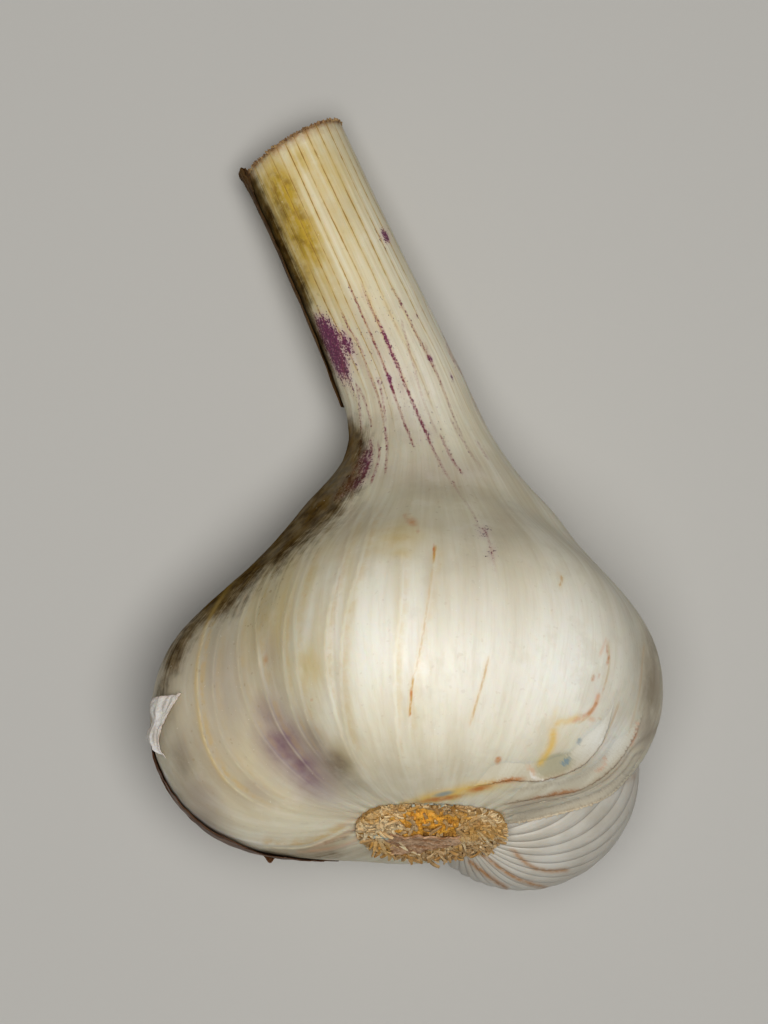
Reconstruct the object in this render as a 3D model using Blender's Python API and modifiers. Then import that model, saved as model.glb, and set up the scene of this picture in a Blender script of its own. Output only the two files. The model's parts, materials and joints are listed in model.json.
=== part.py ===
"""A garlic bulb with its dried neck, lying on its side on a small flat spot.

The bulb is laid out in its own axes and then placed in the lying pose: ACROSS points to the right, OUT points away from
the face the bulb rests on, and ALONG runs from the root plate up to the neck. Lengths are in millimetres until a mesh
is made. The wrapped body is the soft union of plump cloves, each a cone with a large round foot and a small round head,
and of a neck that bends up towards level, so the skin bridges the grooves between cloves as a dry wrapper does.
"""

from math import cos, pi, radians, sin

import bpy
import numpy as np

MM = 0.001

# ---- driving dimensions, mm and degrees ----
BODY_TILT = 23.0          # the bulb's axis dips from the root plate to the neck
PLATE_TILT = 28.0         # the root plate leans a little further
ROOT = (5.5, -36.3, 32.3)  # centre of the root plate above the floor
NECK_CORNER = 48.3        # along the body axis, where the neck turns off
NECK_TIP = (-11.2, 44.7, 6.78)
BEND_IN = 14.0            # the bend begins this far before the corner
BEND_OUT = 10.0           # and ends this far after it
# distance back from the tip, and the neck's radius there
NECK_RADII = ((0, 6.75), (10, 6.75), (20, 6.95), (28, 7.15), (34, 7.4), (39, 7.9), (44, 8.8), (50, 10.2))
SOFTNESS = 2.0            # how far the skin bridges a groove
AXIS_START = 13.0         # the rays that find the skin fan out from here

# foot (across, out, along, radius) and head (across, out, along, radius) of each clove
CLOVES = {
    "front": ((-2.5, 11.2, 16.8, 15.1), (-0.5, 5.0, 29.5, 9.6)),
    "front_right": ((5.5, 8.6, 17.0, 15.0), (2.5, 3.5, 30.0, 10.0)),
    "left": ((-17.2, -4.0, 14.8, 14.5), (-8.6, -2.0, 32.8, 9.0)),
    "left_face": ((-17.2, -4.0, 14.8, 14.5), (-8.5, 5.0, 17.0, 13.0)),
    "left_upper": ((-8.5, 4.2, 21.0, 12.4), (-3.5, 0.0, 33.5, 8.8)),
    "right": ((11.9, -3.5, 18.0, 14.2), (8.4, -2.0, 32.4, 8.8)),
    "right_face": ((11.9, -3.5, 18.0, 14.2), (9.0, 5.6, 17.5, 13.8)),
    "back_left": ((-10.0, -9.5, 14.0, 13.4), (-0.5, -1.0, 37.0, 8.4)),
    "back": ((-1.5, -14.2, 15.0, 14.3), (0.0, -1.0, 37.0, 8.4)),
    "middle": ((0.0, 0.0, 19.0, 18.3), (0.0, -1.5, 37.0, 8.2)),
}
EXPOSED = ((11.0, -12.0, 10.6, 14.2), (2.0, -3.0, 33.0, 5.0))
EXPOSED_FOOT = (3.4, -4.3, 1.5)   # where the exposed clove's ribs run together, beside the root plate
EXPOSED_MIDDLE = (8.5, -9.6, 16.5)   # a place inside the exposed clove that all of its skin faces
RIBS = 36
RIB_HEIGHT = 0.22
POCKET_GAP = 0.35

SEAT_RADIUS = 9.2         # recess for the root plate
SEAT_DEPTH = 1.0
PLATE_RADIUS = 8.8
PLATE_TOP = 0.65
PLATE_RIM = -0.7
PLATE_DOME = -1.5
STUBS = 24
STUB_RADIUS = 0.62
STUB_LENGTH = 2.6

CUT_SKEW = 7.0            # the neck was cut a little off square
# share of the neck's radius, and height of the cut face there: sheath rings round a stalk
CUT_RINGS = ((0.93, 0.0), (0.88, -0.7), (0.80, -0.6), (0.76, 0.0), (0.62, -0.1), (0.57, -0.8), (0.48, -0.7),
             (0.44, 0.1), (0.30, 0.0), (0.25, -0.5), (0.17, -0.4), (0.14, 0.2))

AROUND = 60
FAN_ROWS = 10
AXIS_ROWS = 25
CENTRE = (2.32, 1.475)      # middle of the finished bulb, moved to the origin

SKIN_GAP = 0.35
SKIN_THICKNESS = 0.40

# ---- axes ----
ACROSS = np.array((1.0, 0.0, 0.0))
ALONG = np.array((0.0, cos(radians(BODY_TILT)), -sin(radians(BODY_TILT))))
OUT = np.array((0.0, sin(radians(BODY_TILT)), cos(radians(BODY_TILT))))


def at(across, out, along):
    return np.array(ROOT) + across * ACROSS + out * OUT + along * ALONG


def centre_line():
    """The axis from inside the bulb to the cut tip, and the distance along it."""
    corner, tip = at(0, 0, NECK_CORNER), np.array(NECK_TIP)
    away = (tip - corner) / np.linalg.norm(tip - corner)
    start, end = at(0, 0, NECK_CORNER - BEND_IN), corner + away * BEND_OUT
    points = [at(0, 0, s) for s in np.linspace(AXIS_START, NECK_CORNER - BEND_IN, 30)]
    points += [(1 - t) ** 2 * start + 2 * t * (1 - t) * corner + t * t * end for t in np.linspace(0, 1, 30)[1:]]
    points += [end + (tip - end) * t for t in np.linspace(0, 1, 40)[1:]]
    points = np.array(points)
    steps = np.linalg.norm(np.diff(points, axis=0), axis=1)
    return points, np.concatenate([[0.0], np.cumsum(steps)])


LINE, REACH = centre_line()
LENGTH = REACH[-1]
AWAY = (LINE[-1] - LINE[-2]) / np.linalg.norm(LINE[-1] - LINE[-2])


def on_line(distance, line=None, reach=None):
    line = LINE if line is None else line
    reach = REACH if reach is None else reach
    return np.stack([np.interp(distance, reach, line[:, k]) for k in range(3)], -1)


def clove_distance(p, foot, head, r1, r2):
    """Signed distance to a cone with a round foot and a round head."""
    axis = head - foot
    length2 = axis @ axis
    drop = r1 - r2
    a2 = length2 - drop * drop
    pa = p - foot
    y = pa @ axis
    z = y - length2
    x2 = ((pa * length2 - y[..., None] * axis) ** 2).sum(-1)
    y2, z2 = y * y * length2, z * z * length2
    k = np.sign(drop) * drop * drop * x2
    d = (np.sqrt(x2 * a2 / length2) + y * drop) / length2 - r1
    d = np.where(np.sign(y) * a2 * y2 < k, np.sqrt(x2 + y2) / length2 - r1, d)
    return np.where(np.sign(z) * a2 * z2 > k, np.sqrt(x2 + z2) / length2 - r2, d)


def neck_distance(p):
    found = []
    for (d1, r1), (d2, r2) in zip(NECK_RADII, NECK_RADII[1:]):
        found.append(clove_distance(p, on_line(LENGTH - d1), on_line(LENGTH - d2), r1, r2))
    tip = LINE[-1]
    found.append(clove_distance(p, tip, tip + AWAY * 6.0, NECK_RADII[0][1], NECK_RADII[0][1] + 0.1))
    return np.min(found, axis=0)


def body_distance(p):
    found = [clove_distance(p, at(*foot[:3]), at(*head[:3]), foot[3], head[3]) for foot, head in CLOVES.values()]
    found.append(neck_distance(p))
    found = np.array(found)
    least = found.min(0)
    return least - SOFTNESS * np.log(np.exp(-(found - least) / SOFTNESS).sum(0))


def exposed_distance(p):
    foot, head = EXPOSED
    return clove_distance(p, at(*foot[:3]), at(*head[:3]), foot[3], head[3])


def ring_axes(tangent, up):
    side = np.cross(tangent, up)
    side /= np.linalg.norm(side)
    return side, np.cross(side, tangent)


def ray(turn, station, line, reach, up):
    """A ray from the axis: turn in degrees from the top towards the right; station in degrees below zero for the fan
    round the foot, and millimetres along the axis above it."""
    distance = max(station, 0.0)
    origin = on_line(distance, line, reach)
    ahead, behind = on_line(min(distance + 1.0, reach[-1]), line, reach), on_line(max(distance - 1.0, 0.0), line, reach)
    tangent = (ahead - behind) / np.linalg.norm(ahead - behind)
    side, top = ring_axes(tangent, up)
    out = cos(radians(turn)) * top + sin(radians(turn)) * side
    if station < 0:
        lean = radians(90.0 + station)
        out = sin(lean) * out - cos(lean) * tangent
    return origin, out


def skin(rays, distance, level):
    """Where each ray leaves the shape, or the surface that stands off it by level."""
    origins = np.array([o for o, _ in rays])
    ways = np.array([w for _, w in rays])
    low, high = np.zeros(len(rays)), np.full(len(rays), 60.0)
    for _ in range(30):
        middle = (low + high) / 2
        inside = distance(origins + ways * middle[:, None]) < level
        low, high = np.where(inside, middle, low), np.where(inside, high, middle)
    return origins + ways * low[:, None], low


# ---- making objects ----
def material(name, colour, roughness):
    m = bpy.data.materials.new(name)
    m.use_nodes = True
    shader = m.node_tree.nodes["Principled BSDF"]
    shader.inputs["Base Color"].default_value = (*colour, 1.0)
    shader.inputs["Roughness"].default_value = roughness
    return m


def finished(p):
    """From the lying pose in millimetres to the finished frame in metres."""
    return ((p[0] - CENTRE[0]) * MM, (p[1] - CENTRE[1]) * MM, p[2] * MM)


def add(name, points, faces, mat=None, part=True):
    mesh = bpy.data.meshes.new(name)
    mesh.from_pydata([finished(p) for p in points], [], faces)
    mesh.update()
    return keep(bpy.data.objects.new(name, mesh), mat, part)


def keep(obj, mat=None, part=True):
    for c in list(obj.users_collection):
        c.objects.unlink(obj)
    (PARTS if part else CUTTERS).objects.link(obj)
    if mat:
        obj.data.materials.clear()
        obj.data.materials.append(mat)
    if not part:
        obj.hide_render = True
        obj.display_type = "WIRE"
    return obj


def rows_to_faces(count, around, closed=True):
    faces = []
    for i in range(count - 1):
        for j in range(around if closed else around - 1):
            k = (j + 1) % around
            faces.append((i * around + j, i * around + k, (i + 1) * around + k, (i + 1) * around + j))
    return faces


def loft(name, rows, mat=None, part=True):
    """A closed body from rings of equal count, closed to a point at the foot and at the end."""
    around = len(rows[0])
    points = [p for row in rows for p in row]
    faces = rows_to_faces(len(rows), around)
    first, last = len(points), len(points) + 1
    points.append(np.mean(rows[0], axis=0))
    points.append(np.mean(rows[-1], axis=0))
    end = (len(rows) - 1) * around
    for j in range(around):
        k = (j + 1) % around
        faces.append((first, k, j))
        faces.append((last, end + j, end + k))
    return add(name, points, faces, mat, part)


def boolean(obj, cutter, operation="DIFFERENCE", own=False):
    m = obj.modifiers.new(cutter.name, "BOOLEAN")
    m.operation, m.solver, m.object, m.use_self = operation, "EXACT", cutter, own


def body_rows():
    rows = []
    turns = [360.0 * j / AROUND for j in range(AROUND)]
    stations = [-90.0 + 90.0 * (i + 1) / (FAN_ROWS + 1) for i in range(FAN_ROWS)]
    stations += list(np.linspace(0.0, LENGTH, AXIS_ROWS))
    for station in stations:
        row, _ = skin([ray(t, station, LINE, REACH, OUT) for t in turns], body_distance, 0.0)
        rows.append(row)
    side, top = ring_axes(AWAY, OUT)
    skew = np.tan(radians(CUT_SKEW)) * (rows[-1] - LINE[-1]) @ side
    rows[-1] = rows[-1] + skew[:, None] * AWAY
    rim = rows[-1]
    for share, height in CUT_RINGS:
        wobble = 1.0 + 0.03 * np.sin(np.radians(3.0 * np.array(turns)) + 6.0 * share)
        rows.append(LINE[-1] + (rim - LINE[-1]) * (share * wobble)[:, None] + AWAY * height)
    return rows


def unit(v):
    return v / np.linalg.norm(v)


def exposed_rays(tilt, around):
    """Rays from the middle of the exposed clove. The rings close on its foot at tilt 0 and on its tip at 180 degrees,
    and a rib follows each turn from one to the other."""
    middle = at(*EXPOSED_MIDDLE)
    to_foot, to_tip = unit(at(*EXPOSED_FOOT) - middle), unit(at(*EXPOSED[1][:3]) - middle)
    poles, lean = unit(to_foot - to_tip), unit(to_foot + to_tip)
    side, pull = np.cross(lean, poles), to_foot @ lean
    squeeze = (1.0 - pull * pull) ** 0.5
    found = []
    for j in range(around):
        turn = radians(360.0 * j / around)
        c, s = (cos(turn) - pull) / (1.0 - pull * cos(turn)), squeeze * sin(turn) / (1.0 - pull * cos(turn))
        way = poles * cos(tilt) + (lean * c + side * s) * sin(tilt)
        share = way @ lean
        found.append((middle, (lean * (share + pull) + (way - lean * share) * squeeze) / (1.0 + pull * share)))
    return found


def exposed_rows(level, ribbed, around, count):
    rows = []
    for n in range(count):
        tilt = radians(4.0 + 172.0 * n / (count - 1))
        rays = exposed_rays(tilt, around)
        row, _ = skin(rays, exposed_distance, level)
        if ribbed:
            fade = min(1.0, n / 4.0) * min(1.0, (count - 1 - n) / 6.0)
            lift = [-RIB_HEIGHT * fade if j % 3 == 0 else 0.0 for j in range(around)]
            row = row + np.array([w for _, w in rays]) * np.array(lift)[:, None]
        rows.append(row)
    return rows


def shell(name, edge_rows, mat, lift, thickness=SKIN_THICKNESS, distance=body_distance):
    """A dry leaf: a patch that stands off the skin, given its thickness by Solidify. edge_rows lists, for each station,
    the turns across the leaf; lift(u, v) adds height, with u across and v along it, both from 0 to 1."""
    count = len(edge_rows[0][1])
    points = []
    for i, (station, turns) in enumerate(edge_rows):
        v = i / (len(edge_rows) - 1)
        for j, turn in enumerate(turns):
            u = j / (count - 1)
            hit, _ = skin([ray(turn, station, LINE, REACH, OUT)], distance, SKIN_GAP + lift(u, v))
            points.append(hit[0])
    obj = add(name, points, rows_to_faces(len(edge_rows), count, closed=False), mat)
    m = obj.modifiers.new("thickness", "SOLIDIFY")
    m.thickness, m.offset, m.use_even_offset = thickness * MM, 1.0, False
    return obj


def between(a, b, n):
    return list(np.linspace(a, b, n))


# ---- scene ----
for old in list(bpy.data.objects):
    bpy.data.objects.remove(old)
PARTS = bpy.data.collections.new("garlic_bulb")
CUTTERS = bpy.data.collections.new("cutters")
bpy.context.scene.collection.children.link(PARTS)
bpy.context.scene.collection.children.link(CUTTERS)

WRAPPER = material("dry_wrapper", (0.78, 0.72, 0.58), 0.45)
INNER = material("inner_skin", (0.84, 0.82, 0.76), 0.42)
CORK = material("root_cork", (0.42, 0.26, 0.12), 0.85)
SHEATH = material("old_sheath", (0.55, 0.42, 0.22), 0.6)
THIN = material("thin_skin", (0.70, 0.62, 0.50), 0.5)
FLAP = material("torn_skin", (0.86, 0.83, 0.78), 0.5)

# cutters: the floor, the recess for the root plate, and the pocket for the exposed clove
bpy.ops.mesh.primitive_cube_add(size=1.0, location=(0, 0, -0.05), scale=(0.3, 0.3, 0.1))
FLOOR = keep(bpy.context.object, part=False)
FLOOR.name = "floor_cut"

plate_axis = np.array((0.0, cos(radians(PLATE_TILT)), -sin(radians(PLATE_TILT))))
seat_middle = np.array(ROOT) + plate_axis * (SEAT_DEPTH - 15.0)
bpy.ops.mesh.primitive_cylinder_add(vertices=48, radius=SEAT_RADIUS * MM, depth=30.0 * MM,
                                    location=finished(seat_middle), rotation=(radians(-90.0 - PLATE_TILT), 0, 0))
SEAT = keep(bpy.context.object, part=False)
SEAT.name = "plate_seat"
POCKET = loft("clove_pocket", exposed_rows(POCKET_GAP, False, 72, 30), part=False)

# the wrapped bulb and neck
bulb = loft("wrapped_bulb", body_rows(), WRAPPER)
boolean(bulb, POCKET)
boolean(bulb, SEAT)
boolean(bulb, FLOOR)

# the clove that shows its own ribbed skin
clove = loft("exposed_clove", exposed_rows(0.0, True, RIBS * 3, 24), INNER)
boolean(clove, SEAT)

# the root plate: a turned disc with its stubs joined on
profile = [(0.0, PLATE_TOP), (PLATE_RADIUS * 0.97, PLATE_TOP), (PLATE_RADIUS, PLATE_TOP - 0.3),
           (PLATE_RADIUS, PLATE_RIM), (PLATE_RADIUS * 0.8, PLATE_RIM - 0.35), (PLATE_RADIUS * 0.4, PLATE_DOME),
           (0.0, PLATE_DOME - 0.1)]
mesh = bpy.data.meshes.new("root_plate")
mesh.from_pydata([(r * MM, 0, h * MM) for r, h in profile], [(i, i + 1) for i in range(len(profile) - 1)], [])
plate = keep(bpy.data.objects.new("root_plate", mesh), CORK)
turned = plate.modifiers.new("turned", "SCREW")
turned.steps = turned.render_steps = 40
turned.use_merge_vertices, turned.merge_threshold = True, 1e-5
plate.location = finished(ROOT)
plate.rotation_euler = (radians(-90.0 - PLATE_TILT), 0, 0)

stub_points, stub_faces = [], []
for i in range(STUBS):
    r = (PLATE_RADIUS - 1.9) * ((i + 0.5) / STUBS) ** 0.5
    a = i * 2.39996
    lean = 0.12 + 0.25 * r / PLATE_RADIUS
    length = STUB_LENGTH * (0.75 + 0.25 * cos(5.0 * i))
    foot = np.array((r * cos(a), r * sin(a), -0.4))
    way = np.array((sin(lean) * cos(a), sin(lean) * sin(a), -cos(lean)))
    side = np.cross(way, (0.0, 0.0, 1.0))
    side /= np.linalg.norm(side)
    other = np.cross(way, side)
    base = len(stub_points)
    for reach, width in ((0.0, 1.0), (length, 0.8)):
        for k in range(6):
            t = k * pi / 3
            stub_points.append(foot + way * reach + STUB_RADIUS * width * (cos(t) * side + sin(t) * other))
    stub_faces += [(base + k, base + (k + 1) % 6, base + 6 + (k + 1) % 6, base + 6 + k) for k in range(6)]
    stub_faces += [tuple(base + 5 - k for k in range(6)), tuple(base + 6 + k for k in range(6))]
mesh = bpy.data.meshes.new("root_stubs")
mesh.from_pydata([tuple(x * MM for x in p) for p in stub_points], [], stub_faces)
stubs = keep(bpy.data.objects.new("root_stubs", mesh), part=False)
stubs.location, stubs.rotation_euler = plate.location, plate.rotation_euler
boolean(plate, stubs, "UNION", own=True)

# the old sheath down the left of the neck, loose at its edge and flared at the cut
rows = []
for i, s in enumerate(between(LENGTH - 32.0, LENGTH - 1.2, 14)):
    v = i / 13
    rows.append((s, between(-132.0 - 4.0 * v, -88.0 + 26.0 * v, 9)))
shell("neck_sheath", rows, SHEATH, lambda u, v: 0.9 * max(0.0, 6.0 * v - 5.0) ** 1.5 + 0.25 * u ** 4)

# what is left of the outermost skin, behind the left edge
rows = []
for i, s in enumerate([-38, -34, -30, -25, -20, -15, -10, -4, 2, 6, 10, 14, 18, 22, 26]):
    v = i / 14
    rows.append((s, between(-142.0 + 18.0 * v, -92.0 - 3.0 * cos(9.0 * v), 8)))
shell("outer_skin_remnant", rows, THIN, lambda u, v: 0.6 * u ** 3 * max(0.0, 1.0 - abs(v - 0.2) * 4.0))

# the torn white flap that folds back over the left lobe
rows = []
for i, s in enumerate([-7.5, -5.0, -2.5, 0.0, 1.8, 3.6]):
    v = i / 5
    rows.append((s, between(-88.5 + 1.5 * v, -85.0 + 16.0 * v ** 1.3, 5)))
shell("torn_flake", rows, FLAP, lambda u, v: 0.05 + 0.45 * (1 - u) ** 2, thickness=0.3)

# the loose shred beside the root plate
rows = []
for i, turn in enumerate(between(-146.0, -104.0, 8)):
    v = i / 7
    rows.append((turn, v))
count = 4
points = []
for turn, v in rows:
    for j in range(count):
        u = j / (count - 1)
        station = -55.0 + 3.0 * v + (8.0 - 3.0 * v) * u
        hit, _ = skin([ray(turn, station, LINE, REACH, OUT)], body_distance, SKIN_GAP + 0.2 + 1.2 * (1 - u) * v)
        points.append(hit[0])
shred = add("skin_shred", points, [f[::-1] for f in rows_to_faces(len(rows), count, closed=False)], THIN)
m = shred.modifiers.new("thickness", "SOLIDIFY")
m.thickness, m.offset, m.use_even_offset = 0.3 * MM, 1.0, False
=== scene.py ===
"""Looks for the garlic bulb: a finely modelled dry skin with its veins, blushes and stains, the ribbed clove that shows
below the torn edge, the fibrous root plate, the layered cut of the neck, and the loose skins.

Shapes are laid out in millimetres in the same lying pose as the CAD, and moved to the row frame at the end. Marks on
the upper side are placed by where they lie in a view from straight above: across from its left and down from its top,
in steps of STEP millimetres at the height of REFERENCE.
"""

import json
from math import cos, pi, radians, sin, sqrt

import bmesh
import bpy
import numpy as np
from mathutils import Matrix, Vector

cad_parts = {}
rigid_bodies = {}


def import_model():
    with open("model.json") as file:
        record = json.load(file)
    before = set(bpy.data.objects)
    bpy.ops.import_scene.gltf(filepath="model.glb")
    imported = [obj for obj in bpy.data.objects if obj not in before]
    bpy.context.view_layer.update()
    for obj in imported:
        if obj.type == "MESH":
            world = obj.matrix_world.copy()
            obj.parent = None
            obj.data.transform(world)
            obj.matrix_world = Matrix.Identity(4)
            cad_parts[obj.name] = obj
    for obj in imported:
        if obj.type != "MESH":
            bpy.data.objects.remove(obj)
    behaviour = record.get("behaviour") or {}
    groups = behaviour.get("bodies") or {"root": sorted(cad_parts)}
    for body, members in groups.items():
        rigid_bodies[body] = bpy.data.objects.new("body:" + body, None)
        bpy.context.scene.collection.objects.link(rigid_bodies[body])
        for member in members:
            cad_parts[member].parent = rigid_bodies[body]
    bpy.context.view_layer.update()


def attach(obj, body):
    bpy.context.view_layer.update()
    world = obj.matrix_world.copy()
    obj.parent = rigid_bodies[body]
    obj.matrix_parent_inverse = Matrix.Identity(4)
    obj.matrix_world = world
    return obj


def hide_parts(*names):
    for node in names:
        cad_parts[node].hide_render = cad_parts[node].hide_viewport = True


for old in list(bpy.data.objects):
    bpy.data.objects.remove(old)
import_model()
MM = 0.001

# ---------------------------------------------------------------- shape, as in the CAD
BODY_TILT = 23.0
PLATE_TILT = 28.0
ROOT = np.array((5.5, -36.3, 32.3))
NECK_CORNER = 48.3
NECK_TIP = np.array((-11.2, 44.7, 6.78))
BEND_IN, BEND_OUT = 14.0, 10.0
NECK_RADII = ((0, 6.75), (10, 6.75), (20, 6.95), (28, 7.15), (34, 7.4), (39, 7.9), (44, 8.8), (50, 10.2))
SOFTNESS = 2.0
AXIS_START = 13.0
CLOVES = {
    "front": ((-2.5, 11.2, 16.8, 15.1), (-0.5, 5.0, 29.5, 9.6)),
    "front_right": ((5.5, 8.6, 17.0, 15.0), (2.5, 3.5, 30.0, 10.0)),
    "left": ((-17.2, -4.0, 14.8, 14.5), (-8.6, -2.0, 32.8, 9.0)),
    "left_face": ((-17.2, -4.0, 14.8, 14.5), (-8.5, 5.0, 17.0, 13.0)),
    "left_upper": ((-8.5, 4.2, 21.0, 12.4), (-3.5, 0.0, 33.5, 8.8)),
    "right": ((11.9, -3.5, 18.0, 14.2), (8.4, -2.0, 32.4, 8.8)),
    "right_face": ((11.9, -3.5, 18.0, 14.2), (9.0, 5.6, 17.5, 13.8)),
    "back_left": ((-10.0, -9.5, 14.0, 13.4), (-0.5, -1.0, 37.0, 8.4)),
    "back": ((-1.5, -14.2, 15.0, 14.3), (0.0, -1.0, 37.0, 8.4)),
    "middle": ((0.0, 0.0, 19.0, 18.3), (0.0, -1.5, 37.0, 8.2)),
}
EXPOSED = ((11.0, -12.0, 10.6, 14.2), (2.0, -3.0, 33.0, 5.0))
EXPOSED_FOOT = (3.4, -4.3, 1.5)
EXPOSED_MIDDLE = (8.5, -9.6, 16.5)
RIBS = 36
PLATE_RADIUS = 8.3
CUT_SKEW = 7.0
CENTRE = (2.32, 1.475)

ACROSS = np.array((1.0, 0.0, 0.0))
ALONG = np.array((0.0, cos(radians(BODY_TILT)), -sin(radians(BODY_TILT))))
OUT = np.array((0.0, sin(radians(BODY_TILT)), cos(radians(BODY_TILT))))
PLATE_AXIS = np.array((0.0, cos(radians(PLATE_TILT)), -sin(radians(PLATE_TILT))))
PLATE_OUT = np.array((0.0, sin(radians(PLATE_TILT)), cos(radians(PLATE_TILT))))

# the view from above that the marks are placed in
EYE, REFERENCE, STEP = 359.5, 25.0, 0.11756
VIEW_MIDDLE = (384.0, 512.0)


def at(across, out, along):
    return ROOT + across * ACROSS + out * OUT + along * ALONG


def seen(p):
    """Where points lie in the view from above."""
    k = (EYE - REFERENCE) / (EYE - p[..., 2]) / STEP
    return np.stack([VIEW_MIDDLE[0] + p[..., 0] * k, VIEW_MIDDLE[1] - p[..., 1] * k], -1)


def centre_line():
    corner = at(0, 0, NECK_CORNER)
    away = (NECK_TIP - corner) / np.linalg.norm(NECK_TIP - corner)
    start, end = at(0, 0, NECK_CORNER - BEND_IN), corner + away * BEND_OUT
    points = [at(0, 0, s) for s in np.linspace(AXIS_START, NECK_CORNER - BEND_IN, 60)]
    points += [(1 - t) ** 2 * start + 2 * t * (1 - t) * corner + t * t * end for t in np.linspace(0, 1, 60)[1:]]
    points += [end + (NECK_TIP - end) * t for t in np.linspace(0, 1, 60)[1:]]
    points = np.array(points)
    steps = np.linalg.norm(np.diff(points, axis=0), axis=1)
    return points, np.concatenate([[0.0], np.cumsum(steps)])


LINE, REACH = centre_line()
LENGTH = REACH[-1]
AWAY = (LINE[-1] - LINE[-2]) / np.linalg.norm(LINE[-1] - LINE[-2])


def on_line(distance, line=LINE, reach=REACH):
    return np.stack([np.interp(distance, reach, line[:, k]) for k in range(3)], -1)


def clove_distance(p, foot, head, r1, r2):
    axis = head - foot
    length2 = axis @ axis
    drop = r1 - r2
    a2 = length2 - drop * drop
    pa = p - foot
    y = pa @ axis
    z = y - length2
    x2 = ((pa * length2 - y[..., None] * axis) ** 2).sum(-1)
    y2, z2 = y * y * length2, z * z * length2
    k = np.sign(drop) * drop * drop * x2
    d = (np.sqrt(x2 * a2 / length2) + y * drop) / length2 - r1
    d = np.where(np.sign(y) * a2 * y2 < k, np.sqrt(x2 + y2) / length2 - r1, d)
    return np.where(np.sign(z) * a2 * z2 > k, np.sqrt(x2 + z2) / length2 - r2, d)


def neck_distance(p):
    found = []
    for (d1, r1), (d2, r2) in zip(NECK_RADII, NECK_RADII[1:]):
        found.append(clove_distance(p, on_line(LENGTH - d1), on_line(LENGTH - d2), r1, r2))
    tip = LINE[-1]
    found.append(clove_distance(p, tip, tip + AWAY * 6.0, NECK_RADII[0][1], NECK_RADII[0][1] + 0.1))
    return np.min(found, axis=0)


def body_distance(p):
    found = [clove_distance(p, at(*foot[:3]), at(*head[:3]), foot[3], head[3]) for foot, head in CLOVES.values()]
    found.append(neck_distance(p))
    found = np.array(found)
    least = found.min(0)
    return least - SOFTNESS * np.log(np.exp(-(found - least) / SOFTNESS).sum(0))


def exposed_distance(p):
    foot, head = EXPOSED
    return clove_distance(p, at(*foot[:3]), at(*head[:3]), foot[3], head[3])


def rays(turns, stations, line=LINE, reach=REACH, up=OUT):
    """Rays from the axis for every station (rows) and turn (columns); both in the CAD's terms, or both as full arrays."""
    turns, stations = np.asarray(turns, float), np.asarray(stations, float)
    if stations.ndim == 1:
        stations = np.repeat(stations[:, None], turns.shape[-1], 1)
    if turns.ndim == 1:
        turns = np.repeat(turns[None], stations.shape[0], 0)
    distance = np.maximum(stations, 0.0)
    origin = on_line(distance, line, reach)
    tangent = on_line(np.minimum(distance + 1.0, reach[-1]), line, reach) - on_line(np.maximum(distance - 1.0, 0.0), line, reach)
    tangent /= np.linalg.norm(tangent, axis=-1)[..., None]
    side = np.cross(tangent, up)
    side /= np.linalg.norm(side, axis=-1)[..., None]
    top = np.cross(side, tangent)
    a = np.radians(turns)[..., None]
    way = np.cos(a) * top + np.sin(a) * side
    lean = np.radians(90.0 + np.minimum(stations, 0.0))[..., None]
    return origin, np.sin(lean) * way - np.cos(lean) * tangent


def skin(origin, way, distance=body_distance, level=0.0, most=60.0):
    low, high = np.zeros(origin.shape[:-1]), np.full(origin.shape[:-1], most)
    for _ in range(24):
        middle = (low + high) / 2
        inside = distance(origin + way * middle[..., None]) < level
        low, high = np.where(inside, middle, low), np.where(inside, high, middle)
    return origin + way * low[..., None]


# ---------------------------------------------------------------- small helpers
_rng = np.random.default_rng(11)
_perm = np.concatenate([_rng.permutation(256)] * 2)
_grad = _rng.normal(size=(256, 3))
_grad /= np.linalg.norm(_grad, axis=1)[:, None]


def noise(p):
    """Smooth noise from -1 to 1 at points."""
    p = np.asarray(p, float)
    cell = np.floor(p).astype(int)
    f = p - cell
    s = f * f * f * (f * (f * 6 - 15) + 10)
    total = 0.0
    for dx in (0, 1):
        for dy in (0, 1):
            for dz in (0, 1):
                h = _perm[_perm[_perm[(cell[..., 0] + dx) & 255] + ((cell[..., 1] + dy) & 255)] + ((cell[..., 2] + dz) & 255)]
                g = _grad[h]
                dot = g[..., 0] * (f[..., 0] - dx) + g[..., 1] * (f[..., 1] - dy) + g[..., 2] * (f[..., 2] - dz)
                w = (s[..., 0] if dx else 1 - s[..., 0]) * (s[..., 1] if dy else 1 - s[..., 1]) * (s[..., 2] if dz else 1 - s[..., 2])
                total = total + w * dot
    return total * 1.6


def fbm(p, octaves=3):
    p = np.asarray(p, float)
    return sum(noise(p * 2 ** k + 17.3 * k) / 2 ** k for k in range(octaves)) / (2 - 2 ** (1 - octaves))


def step(low, high, x):
    t = np.clip((x - low) / (high - low), 0, 1)
    return t * t * (3 - 2 * t)


def line_distance(q, points):
    """Distance in the view from a mark's line, how far along the line, and on which side (positive to the right of its way)."""
    points = np.array(points, float)
    best = np.full(q.shape[:-1], 1e9)
    share = np.zeros(q.shape[:-1])
    side = np.zeros(q.shape[:-1])
    lengths = np.linalg.norm(np.diff(points, axis=0), axis=1)
    before = np.concatenate([[0], np.cumsum(lengths)])
    for i in range(len(points) - 1):
        a, b = points[i], points[i + 1]
        t = ((q - a) @ (b - a)) / lengths[i] ** 2
        clipped = np.clip(t, 0, 1)
        near = a + clipped[..., None] * (b - a)
        d = np.linalg.norm(q - near, axis=-1)
        cross = (b - a)[0] * (q - a)[..., 1] - (b - a)[1] * (q - a)[..., 0]
        closer = d < best
        share = np.where(closer, (before[i] + clipped * lengths[i]) / before[-1], share)
        side = np.where(closer, np.sign(cross), side)
        best = np.where(closer, d, best)
    return best, share, side


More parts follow.
